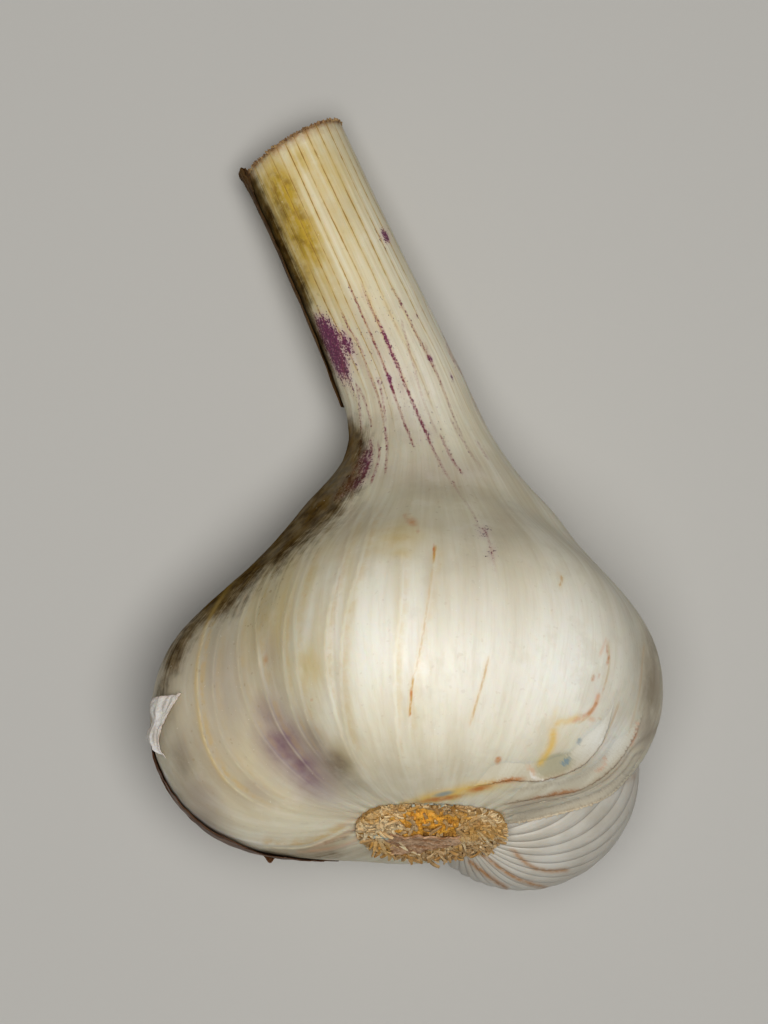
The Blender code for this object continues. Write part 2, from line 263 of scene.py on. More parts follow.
def curve(points, n=40):
    """A smooth line through a mark's points."""
    p = np.array(points, float)
    p = np.vstack([2 * p[0] - p[1], p, 2 * p[-1] - p[-2]])
    out = []
    per = max(2, n // (len(p) - 3))
    for i in range(1, len(p) - 2):
        for t in np.linspace(0, 1, per, endpoint=False):
            a, b, c, d = p[i - 1], p[i], p[i + 1], p[i + 2]
            out.append(0.5 * (2 * b + (c - a) * t + (2 * a - 5 * b + 4 * c - d) * t ** 2 + (3 * b - a - 3 * c + d) * t ** 3))
    out.append(p[-2])
    return out


def blob(q, x, y, rx, ry, turn=0.0):
    """A soft round mask in the view, 1 at its middle."""
    a = radians(turn)
    dx, dy = q[..., 0] - x, q[..., 1] - y
    u, v = cos(a) * dx + sin(a) * dy, -sin(a) * dx + cos(a) * dy
    return np.exp(-((u / rx) ** 2 + (v / ry) ** 2))


def drape(q, distance, level=0.0):
    """Points of a surface that lie at given places in the view, found by walking down from the eye."""
    target = np.stack([(q[..., 0] - VIEW_MIDDLE[0]) * STEP, -(q[..., 1] - VIEW_MIDDLE[1]) * STEP, np.full(q.shape[:-1], REFERENCE)], -1)
    eye = np.array((0.0, 0.0, EYE))
    way = target - eye
    way /= np.linalg.norm(way, axis=-1)[..., None]
    p = eye + way * ((EYE - 60.0) / -way[..., 2])[..., None]
    for _ in range(70):
        p = p + way * ((distance(p) - level) * 0.85)[..., None]
    return p


def slope(p, distance, h=0.05):
    """Outward directions of a surface given by its distance."""
    parts = []
    for k in range(3):
        d = np.zeros(3)
        d[k] = h
        parts.append(distance(p + d) - distance(p - d))
    n = np.stack(parts, -1)
    return n / (np.linalg.norm(n, axis=-1)[..., None] + 1e-12)


def whole_distance(p):
    """The wrapped bulb and the bare clove, joined with a soft crease."""
    a, b = body_distance(p), exposed_distance(p)
    least = np.minimum(a, b)
    return least - 0.35 * np.log(np.exp(-(a - least) / 0.35) + np.exp(-(b - least) / 0.35))


def along_curve(points, count):
    """Evenly spaced points on a mark's line, and the direction to its left as it runs in the view."""
    points = np.array(points, float)
    reach = np.concatenate([[0], np.cumsum(np.linalg.norm(np.diff(points, axis=0), axis=1))])
    t = np.linspace(0, reach[-1], count)
    q = np.stack([np.interp(t, reach, points[:, k]) for k in (0, 1)], -1)
    way = np.gradient(q, axis=0)
    way /= np.linalg.norm(way, axis=-1)[:, None]
    return q, np.stack([way[:, 1], -way[:, 0]], -1)


def shell(name, low, high, values):
    """A closed thin skin between two grids of points; values are kept at both sides."""
    rows, columns = low.shape[:2]
    pts = np.vstack([low.reshape(-1, 3), high.reshape(-1, 3)])
    pts[:, 2] = np.maximum(pts[:, 2], 0.02)
    f = grid_faces(rows, columns, closed=False)
    total = rows * columns
    if ((np.cross(low[0, 1] - low[0, 0], low[1, 0] - low[0, 0])) @ (high[0, 0] - low[0, 0])) > 0:
        faces = [tuple(x)[::-1] for x in f] + [tuple(x + total) for x in f]
        flip = False
    else:
        faces = [tuple(x) for x in f] + [tuple(x + total)[::-1] for x in f]
        flip = True
    ring = [j for j in range(columns)] + [i * columns + columns - 1 for i in range(1, rows)]
    ring += [(rows - 1) * columns + j for j in range(columns - 2, -1, -1)] + [i * columns for i in range(rows - 2, 0, -1)]
    for a, b in zip(ring, ring[1:] + ring[:1]):
        faces.append((b, a, a + total, b + total) if flip else (a, b, b + total, a + total))
    return make(name, pts, faces, {key: np.vstack([v.reshape(-1, 3), v.reshape(-1, 3)]) for key, v in values.items()})


def normals(p, closed=True):
    """Normals of a grid of points whose rows run along and whose columns run round."""
    if closed:
        around = np.roll(p, -1, 1) - np.roll(p, 1, 1)
    else:
        around = np.gradient(p, axis=1)
    along = np.gradient(p, axis=0)
    n = np.cross(around, along)
    return n / (np.linalg.norm(n, axis=-1)[..., None] + 1e-12)


def grid_faces(rows, columns, closed=True):
    i = np.arange(rows - 1)[:, None]
    j = np.arange(columns if closed else columns - 1)[None]
    k = (j + 1) % columns
    return np.stack([i * columns + j, i * columns + k, (i + 1) * columns + k, (i + 1) * columns + j], -1).reshape(-1, 4)


def make(name, points, faces, values=None, smooth=True):
    """A mesh piece from points in millimetres, faces, and values kept at the points for the material."""
    points = np.asarray(points, float).reshape(-1, 3)
    mesh = bpy.data.meshes.new(name)
    placed = (points - np.array((CENTRE[0], CENTRE[1], 0.0))) * MM
    mesh.from_pydata(placed.tolist(), [], [tuple(int(i) for i in f) for f in faces])
    for key, data in (values or {}).items():
        data = np.asarray(data, float)
        if data.ndim == 1:
            data = np.stack([data] * 3, -1)
        attribute = mesh.attributes.new(key, "FLOAT_VECTOR", "POINT")
        attribute.data.foreach_set("vector", data.reshape(-1).astype(np.float32))
    mesh.update()
    mesh.validate()
    if smooth:
        mesh.polygons.foreach_set("use_smooth", [True] * len(mesh.polygons))
    obj = bpy.data.objects.new(name, mesh)
    bpy.context.scene.collection.objects.link(obj)
    return obj


# ---------------------------------------------------------------- node helpers
class Nodes:
    def __init__(self, name):
        self.material = bpy.data.materials.new(name)
        self.material.use_nodes = True
        self.tree = self.material.node_tree
        self.shader = self.tree.nodes["Principled BSDF"]

    def link(self, a, b):
        self.tree.links.new(a, b)

    def put(self, socket, value):
        if hasattr(value, "is_linked") or hasattr(value, "node"):
            self.link(value, socket)
        else:
            socket.default_value = value

    def math(self, operation, a, b=None, c=None, clamp=False):
        n = self.tree.nodes.new("ShaderNodeMath")
        n.operation, n.use_clamp = operation, clamp
        for socket, value in zip(n.inputs, (a, b, c)):
            if value is not None:
                self.put(socket, value)
        return n.outputs[0]

    def attribute(self, name):
        n = self.tree.nodes.new("ShaderNodeAttribute")
        n.attribute_name = name
        return n.outputs["Vector"]

    def split(self, vector):
        n = self.tree.nodes.new("ShaderNodeSeparateXYZ")
        self.link(vector, n.inputs[0])
        return n.outputs

    def scaled(self, vector, scale):
        n = self.tree.nodes.new("ShaderNodeVectorMath")
        n.operation = "MULTIPLY"
        self.link(vector, n.inputs[0])
        n.inputs[1].default_value = scale
        return n.outputs[0]

    def noise(self, vector, scale=1.0, detail=3.0, rough=0.5, distortion=0.0):
        n = self.tree.nodes.new("ShaderNodeTexNoise")
        self.link(vector, n.inputs["Vector"])
        n.inputs["Scale"].default_value = scale
        n.inputs["Detail"].default_value = detail
        n.inputs["Roughness"].default_value = rough
        n.inputs["Distortion"].default_value = distortion
        return n.outputs["Fac"]

    def voronoi(self, vector, scale=1.0, feature="F1"):
        n = self.tree.nodes.new("ShaderNodeTexVoronoi")
        n.feature = feature
        self.link(vector, n.inputs["Vector"])
        n.inputs["Scale"].default_value = scale
        return n.outputs["Distance"]

    def ramp(self, value, low, high, to_low=0.0, to_high=1.0, smooth=True):
        n = self.tree.nodes.new("ShaderNodeMapRange")
        n.interpolation_type = "SMOOTHSTEP" if smooth else "LINEAR"
        self.link(value, n.inputs["Value"])
        n.inputs["From Min"].default_value, n.inputs["From Max"].default_value = low, high
        n.inputs["To Min"].default_value, n.inputs["To Max"].default_value = to_low, to_high
        return n.outputs["Result"]

    def mix(self, factor, a, b, blend="MIX"):
        n = self.tree.nodes.new("ShaderNodeMix")
        n.data_type, n.blend_type = "RGBA", blend
        n.clamp_factor = True
        self.put(n.inputs[0], factor)
        for socket, value in ((n.inputs[6], a), (n.inputs[7], b)):
            if isinstance(value, tuple):
                socket.default_value = (*value, 1.0)
            else:
                self.link(value, socket)
        return n.outputs[2]

    def bump(self, height, strength, distance, normal=None):
        n = self.tree.nodes.new("ShaderNodeBump")
        n.inputs["Strength"].default_value = strength
        n.inputs["Distance"].default_value = distance
        self.link(height, n.inputs["Height"])
        if normal is not None:
            self.link(normal, n.inputs["Normal"])
        return n.outputs["Normal"]

    def finish(self, colour, roughness, normal=None, subsurface=0.0, radius=(1.0, 0.6, 0.4), scale=0.001, specular=0.5):
        s = self.shader
        self.put(s.inputs["Base Color"], colour if not isinstance(colour, tuple) else (*colour, 1.0))
        self.put(s.inputs["Roughness"], roughness)
        if normal is not None:
            self.link(normal, s.inputs["Normal"])
        s.inputs["Subsurface Weight"].default_value = subsurface
        s.inputs["Subsurface Radius"].default_value = radius
        s.inputs["Subsurface Scale"].default_value = scale
        self.put(s.inputs["Specular IOR Level"], specular)
        return self.material


# ---------------------------------------------------------------- the wrapped bulb
AROUND = 430
VEINS = 30


def front_dense_turns(count):
    """Turns round the axis, closer together on the upper side."""
    t = np.linspace(-180.0, 180.0, 4001)
    density = 1.0 + 1.5 * step(115.0, 85.0, np.abs(t))
    total = np.concatenate([[0], np.cumsum((density[1:] + density[:-1]) / 2)])
    return np.interp(np.arange(count) / count * total[-1], total, t)


TURNS = front_dense_turns(AROUND)
STATIONS = np.concatenate([
    np.linspace(-88.0, -62.0, 10, endpoint=False),
    np.linspace(-62.0, 0.0, 62, endpoint=False),
    np.linspace(0.0, 36.0, 62, endpoint=False),
    np.linspace(36.0, LENGTH, 50),
])
origin, way = rays(TURNS, STATIONS)
base = skin(origin, way)
outward = normals(base)
turn = np.repeat(TURNS[None], len(STATIONS), 0)
station = np.repeat(STATIONS[:, None], AROUND, 1)
view = seen(base)
facing = step(-0.25, 0.05, outward[..., 2])
neck = step(22.0, 34.0, station)                     # 0 on the bulb, 1 on the neck
bare_neck = step(34.0, 62.0, station) * 0.75 + 0.25 * step(30.0, 40.0, station)

# how the veins wander: a little with height and from vein to vein
wander = 0.16 * noise(np.stack([turn / 24.0, station / 26.0, 0 * turn], -1)) + 0.05 * noise(np.stack([turn / 8.0, station / 9.0, 0 * turn + 5], -1))
fade_seam = step(180.0, 168.0, np.abs(turn))
phase = turn / 360.0 * VEINS + wander * fade_seam


def index_map(p, n):
    """For each place in the view, the nearest point of the upper side."""
    found = np.full((1100, 900), -1)
    q = seen(p)
    chosen = np.arange(p.shape[0] * p.shape[1])[(n[..., 2] > 0.02).ravel()]
    chosen = chosen[np.argsort(p[..., 2].ravel()[chosen])]
    column = np.clip(np.round(q[..., 0].ravel()[chosen]).astype(int), 0, 899)
    row = np.clip(np.round(q[..., 1].ravel()[chosen]).astype(int), 0, 1099)
    found[row, column] = chosen
    for _ in range(9):
        for dy, dx in ((0, 1), (0, -1), (1, 0), (-1, 0)):
            moved = np.roll(found, (dy, dx), (0, 1))
            found = np.where(found < 0, moved, found)
    return found


# these veins are the ones that carry the purple streaks, from left to right
GUIDE_S3 = [(340, 308), (349, 328), (360, 346), (369, 374), (378, 396), (383, 418), (387, 439), (387, 458)]
GUIDE_S1 = [(347, 281), (360, 310), (374, 342), (387, 374), (397, 403), (408, 432), (416, 452)]
GUIDE_S2 = [(360, 279), (370, 306), (383, 331), (390, 349), (397, 365), (408, 392), (424, 428), (435, 453), (453, 486)]
GUIDE_S6 = [(388, 281), (403, 306), (417, 335), (430, 360), (439, 378), (446, 396), (457, 425), (466, 445)]
GUIDE_S7 = [(428, 292), (440, 322), (450, 353), (464, 378), (475, 405), (487, 430)]
place_of = index_map(base, outward)
knots, whole = [np.full(len(STATIONS), -120.0 / 360.0 * VEINS)], [-120.0 / 360.0 * VEINS]
for guide in (GUIDE_S3, GUIDE_S1, GUIDE_S2, GUIDE_S6, GUIDE_S7):
    places = np.array(curve(guide))
    found = place_of[np.round(places[:, 1]).astype(int), np.round(places[:, 0]).astype(int)]
    s_found, t_found = station.ravel()[found], phase.ravel()[found]
    fit = np.polyfit(s_found, t_found, 3)
    knots.append(np.polyval(fit, np.clip(STATIONS, s_found.min(), s_found.max())))
    whole.append(float(max(np.round(t_found.mean()), np.floor(whole[-1]) + 1)))
knots.append(np.full(len(STATIONS), 120.0 / 360.0 * VEINS))
whole.append(120.0 / 360.0 * VEINS)
for i in range(len(STATIONS)):
    row_knots = np.maximum.accumulate(np.array([k[i] for k in knots]) + 0.2 * np.arange(len(knots)) * 0.001)
    inner = (phase[i] > row_knots[0]) & (phase[i] < row_knots[-1])
    phase[i] = np.where(inner, np.interp(phase[i], row_knots, whole), phase[i])
saw = phase - np.floor(phase)
between_veins = 2 * pi * np.linalg.norm(base - base.mean(1, keepdims=True), axis=-1) / VEINS

# relief, millimetres
relief = np.zeros_like(turn)
band = np.abs(np.sin(pi * saw)) ** 0.7
vein_strength = 0.55 + 0.45 * noise(np.stack([np.floor(phase) * 0.73, station / 30.0, 0 * turn + 9], -1))
relief += (band - 0.6) * (0.003 + 0.005 * bare_neck) * vein_strength * step(-70.0, -30.0, station)
relief += 0.11 * fbm(base / 9.0, 3) * (1 - 0.6 * neck)
relief += 0.05 * fbm(np.stack([np.cos(np.radians(turn)) * 5, np.sin(np.radians(turn)) * 5, station / 22.0], -1), 2)
relief += 0.028 * fbm(np.stack([np.cos(np.radians(turn)) * 22, np.sin(np.radians(turn)) * 22, station / 14.0], -1), 3)

# folds of the skin that stand up as fine ridges, each with lower skin to its left
RIDGES = [
    ([(262, 847), (300, 848), (325, 841), (345, 831), (358, 823)], 1.0),
    ([(262, 546), (254, 555), (236, 577), (215, 609), (204, 635), (197, 680), (203, 735), (222, 775), (250, 800), (290, 816)], 0.75),
    ([(312, 512), (290, 528), (272, 552), (258, 577), (245, 606), (238, 635), (240, 680), (255, 725), (285, 765), (330, 800)], 0.32),
    ([(322, 512), (300, 524), (281, 547), (269, 573), (258, 602), (256, 631), (262, 680), (280, 730), (315, 775), (350, 800)], 0.48),
    ([(344, 500), (326, 512), (312, 532), (301, 563), (289, 599), (283, 635), (285, 680), (300, 730), (335, 778)], 0.46),
    ([(352, 500), (335, 512), (319, 534), (308, 563), (296, 602), (294, 635), (298, 680), (312, 730), (345, 780)], 0.36),
    ([(366, 500), (355, 522), (337, 575), (327, 620), (325, 655), (330, 695), (345, 745), (368, 785)], 0.42),
    ([(376, 500), (360, 560), (346, 610), (341, 645), (341, 695), (350, 745), (372, 787)], 0.46),
    ([(402, 545), (400, 605), (394, 655), (394, 695), (398, 750), (408, 787)], 0.35),
    ([(437, 545), (429, 595), (418, 650), (410, 700), (408, 760)], 0.3),
    ([(178, 640), (174, 690), (182, 745), (205, 790), (240, 822)], 0.12),
    ([(222, 620), (214, 660), (214, 705), (228, 750), (262, 790), (310, 818)], 0.30),
]
d_ridge, k_ridge, ridge_side = np.full(turn.shape, 9.0), np.zeros_like(turn), np.zeros_like(turn)
for line, strength in RIDGES:
    d, s, side = line_distance(view, curve(line))
    d = np.where(facing > 0.5, d * 0.11756, 9.0)
    fade = strength * step(0.0, 0.05, s) * step(1.0, 0.80, s)
    relief += fade * (0.030 * np.exp(-(d / 0.30) ** 2) - 0.070 * np.where(side > 0, 1.0, 0.0) * np.exp(-d / 1.6) * step(0.0, 0.5, d))
    closer = d < d_ridge
    k_ridge, ridge_side = np.where(closer, fade, k_ridge), np.where(closer, side, ridge_side)
    d_ridge = np.minimum(d, d_ridge)

# the overlapping edge of the outer leaf, from the neck to the root plate
OUTER_EDGE = curve([(338, 330), (349, 410), (353, 470), (349, 520), (340, 570), (335, 610), (334, 650), (338, 700), (347, 745), (365, 775), (392, 795)])
d, s, side = line_distance(view, OUTER_EDGE)
d_outer = np.where(facing > 0, d, 99.0)
left_of = np.where(side > 0, 1.0, -1.0)
relief += facing * np.where(left_of > 0, np.exp(-d / 26.0), 0.0) * 0.02 * step(0.0, 1.2, d) * step(560.0, 500.0, view[..., 1])

# the torn layers at the lower right: each ends in an edge, the next lies lower, and the last shows its ribs
LAYER_ONE = curve([(468, 788), (490, 783), (510, 780), (530, 781), (552, 777), (575, 769), (590, 757), (602, 740), (610, 718), (615, 696)])
LAYER_TWO = curve([(500, 806), (540, 798), (580, 790), (609, 772), (629, 747), (640, 724), (646, 702)])
LAYER_END = curve([(500, 824), (536, 819), (586, 806), (612, 793), (630, 776), (640, 760)])
d_one, s_one, side_one = line_distance(view, LAYER_ONE)
d_two, s_two, side_two = line_distance(view, LAYER_TWO)
d_end, s_end, side_end = line_distance(view, LAYER_END)
for d, s, side, drop in ((d_one, s_one, side_one, 0.16), (d_two, s_two, side_two, 0.16)):
    relief -= facing * np.where(side > 0, 1.0, 0.0) * drop * step(0.0, 2.0, d) * step(0.0, 0.12, s) * step(1.0, 0.75, s) * np.exp(-d / 34.0)
between = facing * np.where((side_two > 0) & (side_end < 0), 1.0, 0.0) * step(0.0, 0.10, s_two) * step(1.0, 0.80, s_two)
share_down = d_two / (d_two + d_end + 1e-6)
rib_wave = np.abs(np.sin(pi * 3.0 * share_down))
relief += 0.13 * between * (rib_wave ** 0.6 - 0.7)
middle_zone = facing * np.where((side_one > 0) & (side_two < 0), 1.0, 0.0) * step(0.0, 0.10, s_two) * step(0.80, 0.55, s_two)
share_mid = d_one / (d_one + d_two + 1e-6)
relief += 0.05 * middle_zone * (np.abs(np.sin(pi * 2.0 * share_mid)) ** 0.6 - 0.7)
# painted shade in the grooves between the ribs of the lower layers
rib_groove_shade = np.maximum(between * (1 - rib_wave ** 0.5), 0.6 * middle_zone * (1 - np.abs(np.sin(pi * 2.0 * share_mid)) ** 0.5))
grey_zone = between

# puckers round the root plate and where the neck begins
relief += 0.07 * step(-44.0, -62.0, station) * np.sin(np.radians(turn) * 34 + 2 * noise(base / 6.0)) * fade_seam
relief += 0.05 * step(24.0, 30.0, station) * step(44.0, 34.0, station) * noise(np.stack([turn / 9.0, station / 3.0, 0 * turn], -1))

points = base + outward * relief[..., None]

# the recess that the root plate sits in
rel = points - ROOT
high = rel @ PLATE_AXIS
flat = np.linalg.norm(rel - high[..., None] * PLATE_AXIS, axis=-1)
push = np.maximum(0.55 - high, 0.0) * step(8.9, 8.3, flat)
points = points + push[..., None] * PLATE_AXIS

# skew the cut, then lay the cut face inwards in rings of sheath ends
side_way = np.cross(AWAY, OUT)
side_way /= np.linalg.norm(side_way)
near_end = step(LENGTH - 8.0, LENGTH, station)[..., None]
points = points + near_end * np.tan(radians(CUT_SKEW)) * ((points - LINE[-1]) @ side_way)[..., None] * AWAY
ragged = 0.16 * fbm(np.stack([turn / 3.5, 0 * turn, 0 * turn], -1), 3) + 0.10 * noise(np.stack([turn / 1.2, 0 * turn + 3, 0 * turn], -1))
points[-1] += ragged[-1][:, None] * AWAY
points[-2] += 0.5 * ragged[-1][:, None] * AWAY
rim = points[-1].copy()
hub = LINE[-1]
cap_shares = np.concatenate([[0.985, 0.965], np.linspace(0.945, 0.05, 44)])
cap = []
cap_tone = []
for share in cap_shares:
    spiral = share * 7.5 + TURNS / 360.0
    ring = spiral - np.floor(spiral)
    sheath = (share > 0.34)
    ridge = np.exp(-((ring - 0.5) / 0.17) ** 2)
    height = np.where(sheath, -0.75 + 0.85 * ridge, -0.05 + 0.10 * noise(np.stack([TURNS / 40, 0 * TURNS + share * 9, 0 * TURNS], -1)))
    if share > 0.96:
        height = np.full(AROUND, -0.02)
    height = height + 0.12 * noise(np.stack([TURNS / 5.0, 0 * TURNS + share * 6, 0 * TURNS], -1))
    wobble = 1.0 + 0.03 * np.sin(np.radians(3 * TURNS) + 5 * share)
    squash = 1.0 if share > 0.96 else wobble
    cap.append(hub + (rim - hub) * (share * squash if np.isscalar(squash) else (share * squash))[..., None] * 1.0 + height[:, None] * AWAY if not np.isscalar(squash) else hub + (rim - hub) * share + height[:, None] * AWAY)
    # lighter on each sheath's ridge and darker between: painted shade in the grooves of the cut
    cap_tone.append(np.where(sheath, ridge, 0.75))
cap = np.array(cap)
cap_tone = np.array(cap_tone)

# ---- what the material reads at each point
cyl = np.stack([np.cos(np.radians(turn)), np.sin(np.radians(turn)), station / 60.0], -1)
phase_cs = np.stack([np.cos(2 * pi * phase), np.sin(2 * pi * phase), 0 * phase], -1)

purple = np.zeros_like(turn)
STREAKS = [                                           # line, half width in view steps, strength at its parts
    (GUIDE_S1, 1.6, [(0.0, 0.55), (0.3, 0.5), (0.5, 0.62), (0.6, 1.0), (0.7, 0.5), (1.0, 0.6)]),
    (GUIDE_S2, 2.2, [(0.0, 0.35), (0.2, 0.5), (0.28, 1.0), (0.40, 0.85), (0.5, 0.55), (0.62, 0.8), (0.75, 0.75), (0.85, 0.45), (1.0, 0.55)]),
    (GUIDE_S3, 1.4, [(0.0, 0.5), (0.4, 0.4), (0.6, 0.5), (0.8, 0.35), (1.0, 0.5)]),
    (GUIDE_S6, 1.8, [(0.0, 0.25), (0.35, 0.42), (0.5, 0.55), (0.7, 0.30), (1.0, 0.25)]),
    (GUIDE_S7, 1.8, [(0.0, 0.2), (0.4, 0.40), (0.55, 0.5), (0.7, 0.25), (1.0, 0.2)]),
    ([(400, 316), (412, 360), (424, 402), (440, 440)], 1.5, [(0.0, 0.30), (0.3, 0.36), (0.6, 0.22), (1.0, 0.3)]),
    ([(424, 340), (434, 366), (446, 396)], 1.6, [(0.0, 0.25), (0.5, 0.34), (1.0, 0.15)]),
    ([(356, 380), (360, 410), (362, 436)], 1.6, [(0.0, 0.5), (0.5, 0.4), (1.0, 0.5)]),
    ([(378, 378), (383, 400), (386, 425)], 1.5, [(0.0, 0.4), (0.5, 0.5), (1.0, 0.4)]),
    ([(450, 418), (466, 446), (482, 470)], 1.6, [(0.0, 0.3), (0.5, 0.35), (1.0, 0.2)]),
    ([(439, 432), (453, 461), (464, 475)], 2.0, [(0.0, 0.4), (0.5, 0.65), (1.0, 0.5)]),
    ([(475, 439), (482, 450), (489, 461)], 1.8, [(0.0, 0.35), (1.0, 0.35)]),
    ([(385, 425), (387, 450), (385, 475)], 1.8, [(0.0, 0.7), (0.5, 0.5), (1.0, 0.6)]),
    ([(370, 438), (371, 456), (360, 484)], 2.2, [(0.0, 0.8), (1.0, 0.8)]),
    ([(378, 440), (379, 458), (370, 486)], 1.8, [(0.0, 0.6), (1.0, 0.6)]),
    ([(361, 438), (358, 462), (346, 486)], 2.4, [(0.0, 0.7), (1.0, 0.8)]),
    ([(357, 384), (366, 404), (372, 428)], 1.6, [(0.0, 0.45), (1.0, 0.4)]),
    ([(472, 525), (484, 530), (490, 545), (494, 562), (496, 574)], 3.4, [(0.0, 0.25), (0.3, 0.42), (0.7, 0.35), (1.0, 0.15)]),
    ([(452, 480), (458, 492), (472, 512), (478, 524)], 2.4, [(0.0, 0.4), (0.4, 0.2), (1.0, 0.3)]),
]
d_streak, k_streak = np.full(turn.shape, 9.0), np.zeros_like(turn)
for line, width, profile in STREAKS:
    d, s, side = line_distance(view, curve(line))
    k = np.interp(s, [x for x, _ in profile], [y for _, y in profile]) * step(0.0, 0.05, s) * step(1.0, 0.93, s)
    purple = np.maximum(purple, facing * k * 0.72 * np.exp(-(d / (width * 1.25)) ** 2))
    d = np.where(facing > 0.5, d * 0.11756, 9.0)
    closer = d < d_streak
    k_streak, d_streak = np.where(closer, k, k_streak), np.minimum(d, d_streak)
for x, y, rx, ry, a, k in (
    (385, 236, 4.2, 7.5, -30, 1.0), (385, 236, 8.0, 12.0, -24, 0.46), (330, 338, 9.0, 24.0, -26, 1.5), (338, 358, 8.0, 24.0, -22, 1.4), (346, 344, 9.0, 20.0, -24, 0.78), (322, 326, 6.0, 14.0, -26, 1.1),
    (346, 368, 5.0, 30.0, -16, 0.62), (352, 350, 8.0, 30.0, -24, 0.40),
    (364, 464, 8.0, 22.0, 14, 0.92), (352, 484, 14.0, 8.0, -34, 0.95), (340, 495, 10.0, 6.0, -36, 0.7), (376, 330, 30.0, 60.0, -22, 0.20), (400, 380, 46.0, 80.0, -22, 0.16),
    (430, 430, 50.0, 50.0, -22, 0.13), (401, 304, 2.6, 4.0, -20, 0.75), (416, 314, 6.0, 4.0, -24, 0.46), (430, 358, 3.0, 5.0, -30, 0.85), (452, 378, 1.5, 4.0, -20, 0.9),
    (363, 296, 5.0, 9.0, -20, 0.34), (379, 382, 5.0, 7.0, -20, 0.42), (402, 388, 8.0, 14.0, -24, 0.34), (389, 378, 3.2, 5.0, -20, 1.1), (436, 300, 14.0, 40.0, -24, 0.12),
    (484, 532, 11.0, 9.0, 30, 0.46), (492, 553, 7.0, 14.0, 0, 0.42), (428, 432, 9.0, 12.0, -24, 0.36), (420, 440, 4.0, 8.0, -20, 0.3),
):
    purple = np.maximum(purple, facing * k * blob(view, x, y, rx, ry, a))
# the sides and underside of the neck carry streaks of their own
hidden = (1 - facing)
stripes = step(0.25, 0.75, noise(np.stack([np.cos(np.radians(turn)) * 9, np.sin(np.radians(turn)) * 9, station / 16.0], -1)))
purple = np.maximum(purple, hidden * 0.8 * stripes * step(20.0, 30.0, station) * step(56.0, 44.0, station))

warm = np.zeros_like(turn)
for x, y, rx, ry, a, k in (
    (285, 600, 14, 70, 12, 0.45), (310, 665, 22, 22, 0, 0.46), (312, 570, 10, 50, 16, 0.36), (262, 600, 10, 60, 16, 0.40), (340, 760, 18, 14, 40, 0.35), (262, 622, 9, 40, 14, 0.55), (322, 640, 10, 60, 4, 0.26),
    (350, 590, 8, 60, 6, 0.22), (398, 537, 26, 15, -12, 0.62), (402, 551, 14, 8, 0, 0.5), (378, 548, 20, 10, 10, 0.34), (370, 536, 30, 14, 0, 0.30), (330, 545, 30, 20, -30, 0.30), (398, 640, 5, 90, 0, 0.22),
    (282, 190, 24, 44, -24, 1.2), (300, 232, 24, 58, -24, 1.2), (304, 270, 16, 44, -24, 0.9), (318, 275, 14, 40, -24, 0.7), (300, 160, 22, 20, -24, 0.8), (336, 170, 26, 60, -24, 0.5), (345, 240, 34, 90, -24, 0.26), (366, 250, 10, 60, -24, 0.22), (330, 290, 14, 40, -24, 0.55), (320, 170, 20, 50, -24, 0.62), (340, 215, 14, 70, -24, 0.52), (352, 270, 14, 60, -24, 0.34),
    
    (560, 735, 20, 26, 20, 0.18), (455, 796, 46, 4.0, -10, 0.8),
    (240, 760, 40, 40, 0, 0.10), (385, 720, 40, 40, 0, 0.08),
):
    warm = np.maximum(warm, facing * k * blob(view, x, y, rx, ry, a))
warm = np.maximum(warm, hidden * (0.55 * step(-0.1, 0.6, noise(np.stack([np.cos(np.radians(turn)) * 4, np.sin(np.radians(turn)) * 4, station / 40.0], -1)))
                                  + 0.5 * step(40.0, 60.0, station)))

# grey: dirty grey skin, and painted shade along the left and right edges, the collar below the neck, the crease left of
# the dome and the lower edge; on the hidden sides, patchy dirt
grey_dirt_and_shade = np.zeros_like(turn)
for x, y, rx, ry, a, k in (
    (440, 488, 80, 14, 8, 0.5), (505, 520, 30, 26, 40, 0.35), (176, 650, 14, 50, 16, 0.75), (212, 640, 22, 50, 20, 0.35),
    (165, 700, 12, 50, 4, 0.7), (190, 760, 20, 40, -20, 0.45), (205, 825, 20, 22, -40, 0.5), (318, 852, 62, 8, 0, 1.0), (230, 700, 12, 50, 0, 0.25), (250, 790, 30, 14, 30, 0.22),
    (337, 765, 22, 14, 40, 1.5), (180, 765, 14, 30, -16, 0.8), (215, 655, 26, 40, 16, 0.35), (318, 745, 9, 24, -30, 0.9), (350, 782, 18, 10, 20, 0.7), (190, 780, 22, 30, -30, 0.5), (222, 655, 24, 40, 16, 0.35), (555, 762, 18, 10, -10, 0.35), (430, 770, 60, 20, 0, 0.2), (480, 560, 50, 24, 10, 0.10),
    (652, 690, 13, 90, 0, 1.15), (376, 356, 24, 60, -22, 0.35), (262, 622, 8, 40, 14, 0.45), (182, 762, 14, 26, -16, 1.0), (400, 424, 26, 30, -24, 0.35), (640, 610, 12, 50, -26, 0.4), (600, 560, 10, 50, -46, 0.3),
):
    grey_dirt_and_shade = np.maximum(grey_dirt_and_shade, facing * k * blob(view, x, y, rx, ry, a))
grey_dirt_and_shade = np.maximum(grey_dirt_and_shade, hidden * 0.35 * step(-0.2, 0.5, fbm(base / 12.0 + 7, 2)))

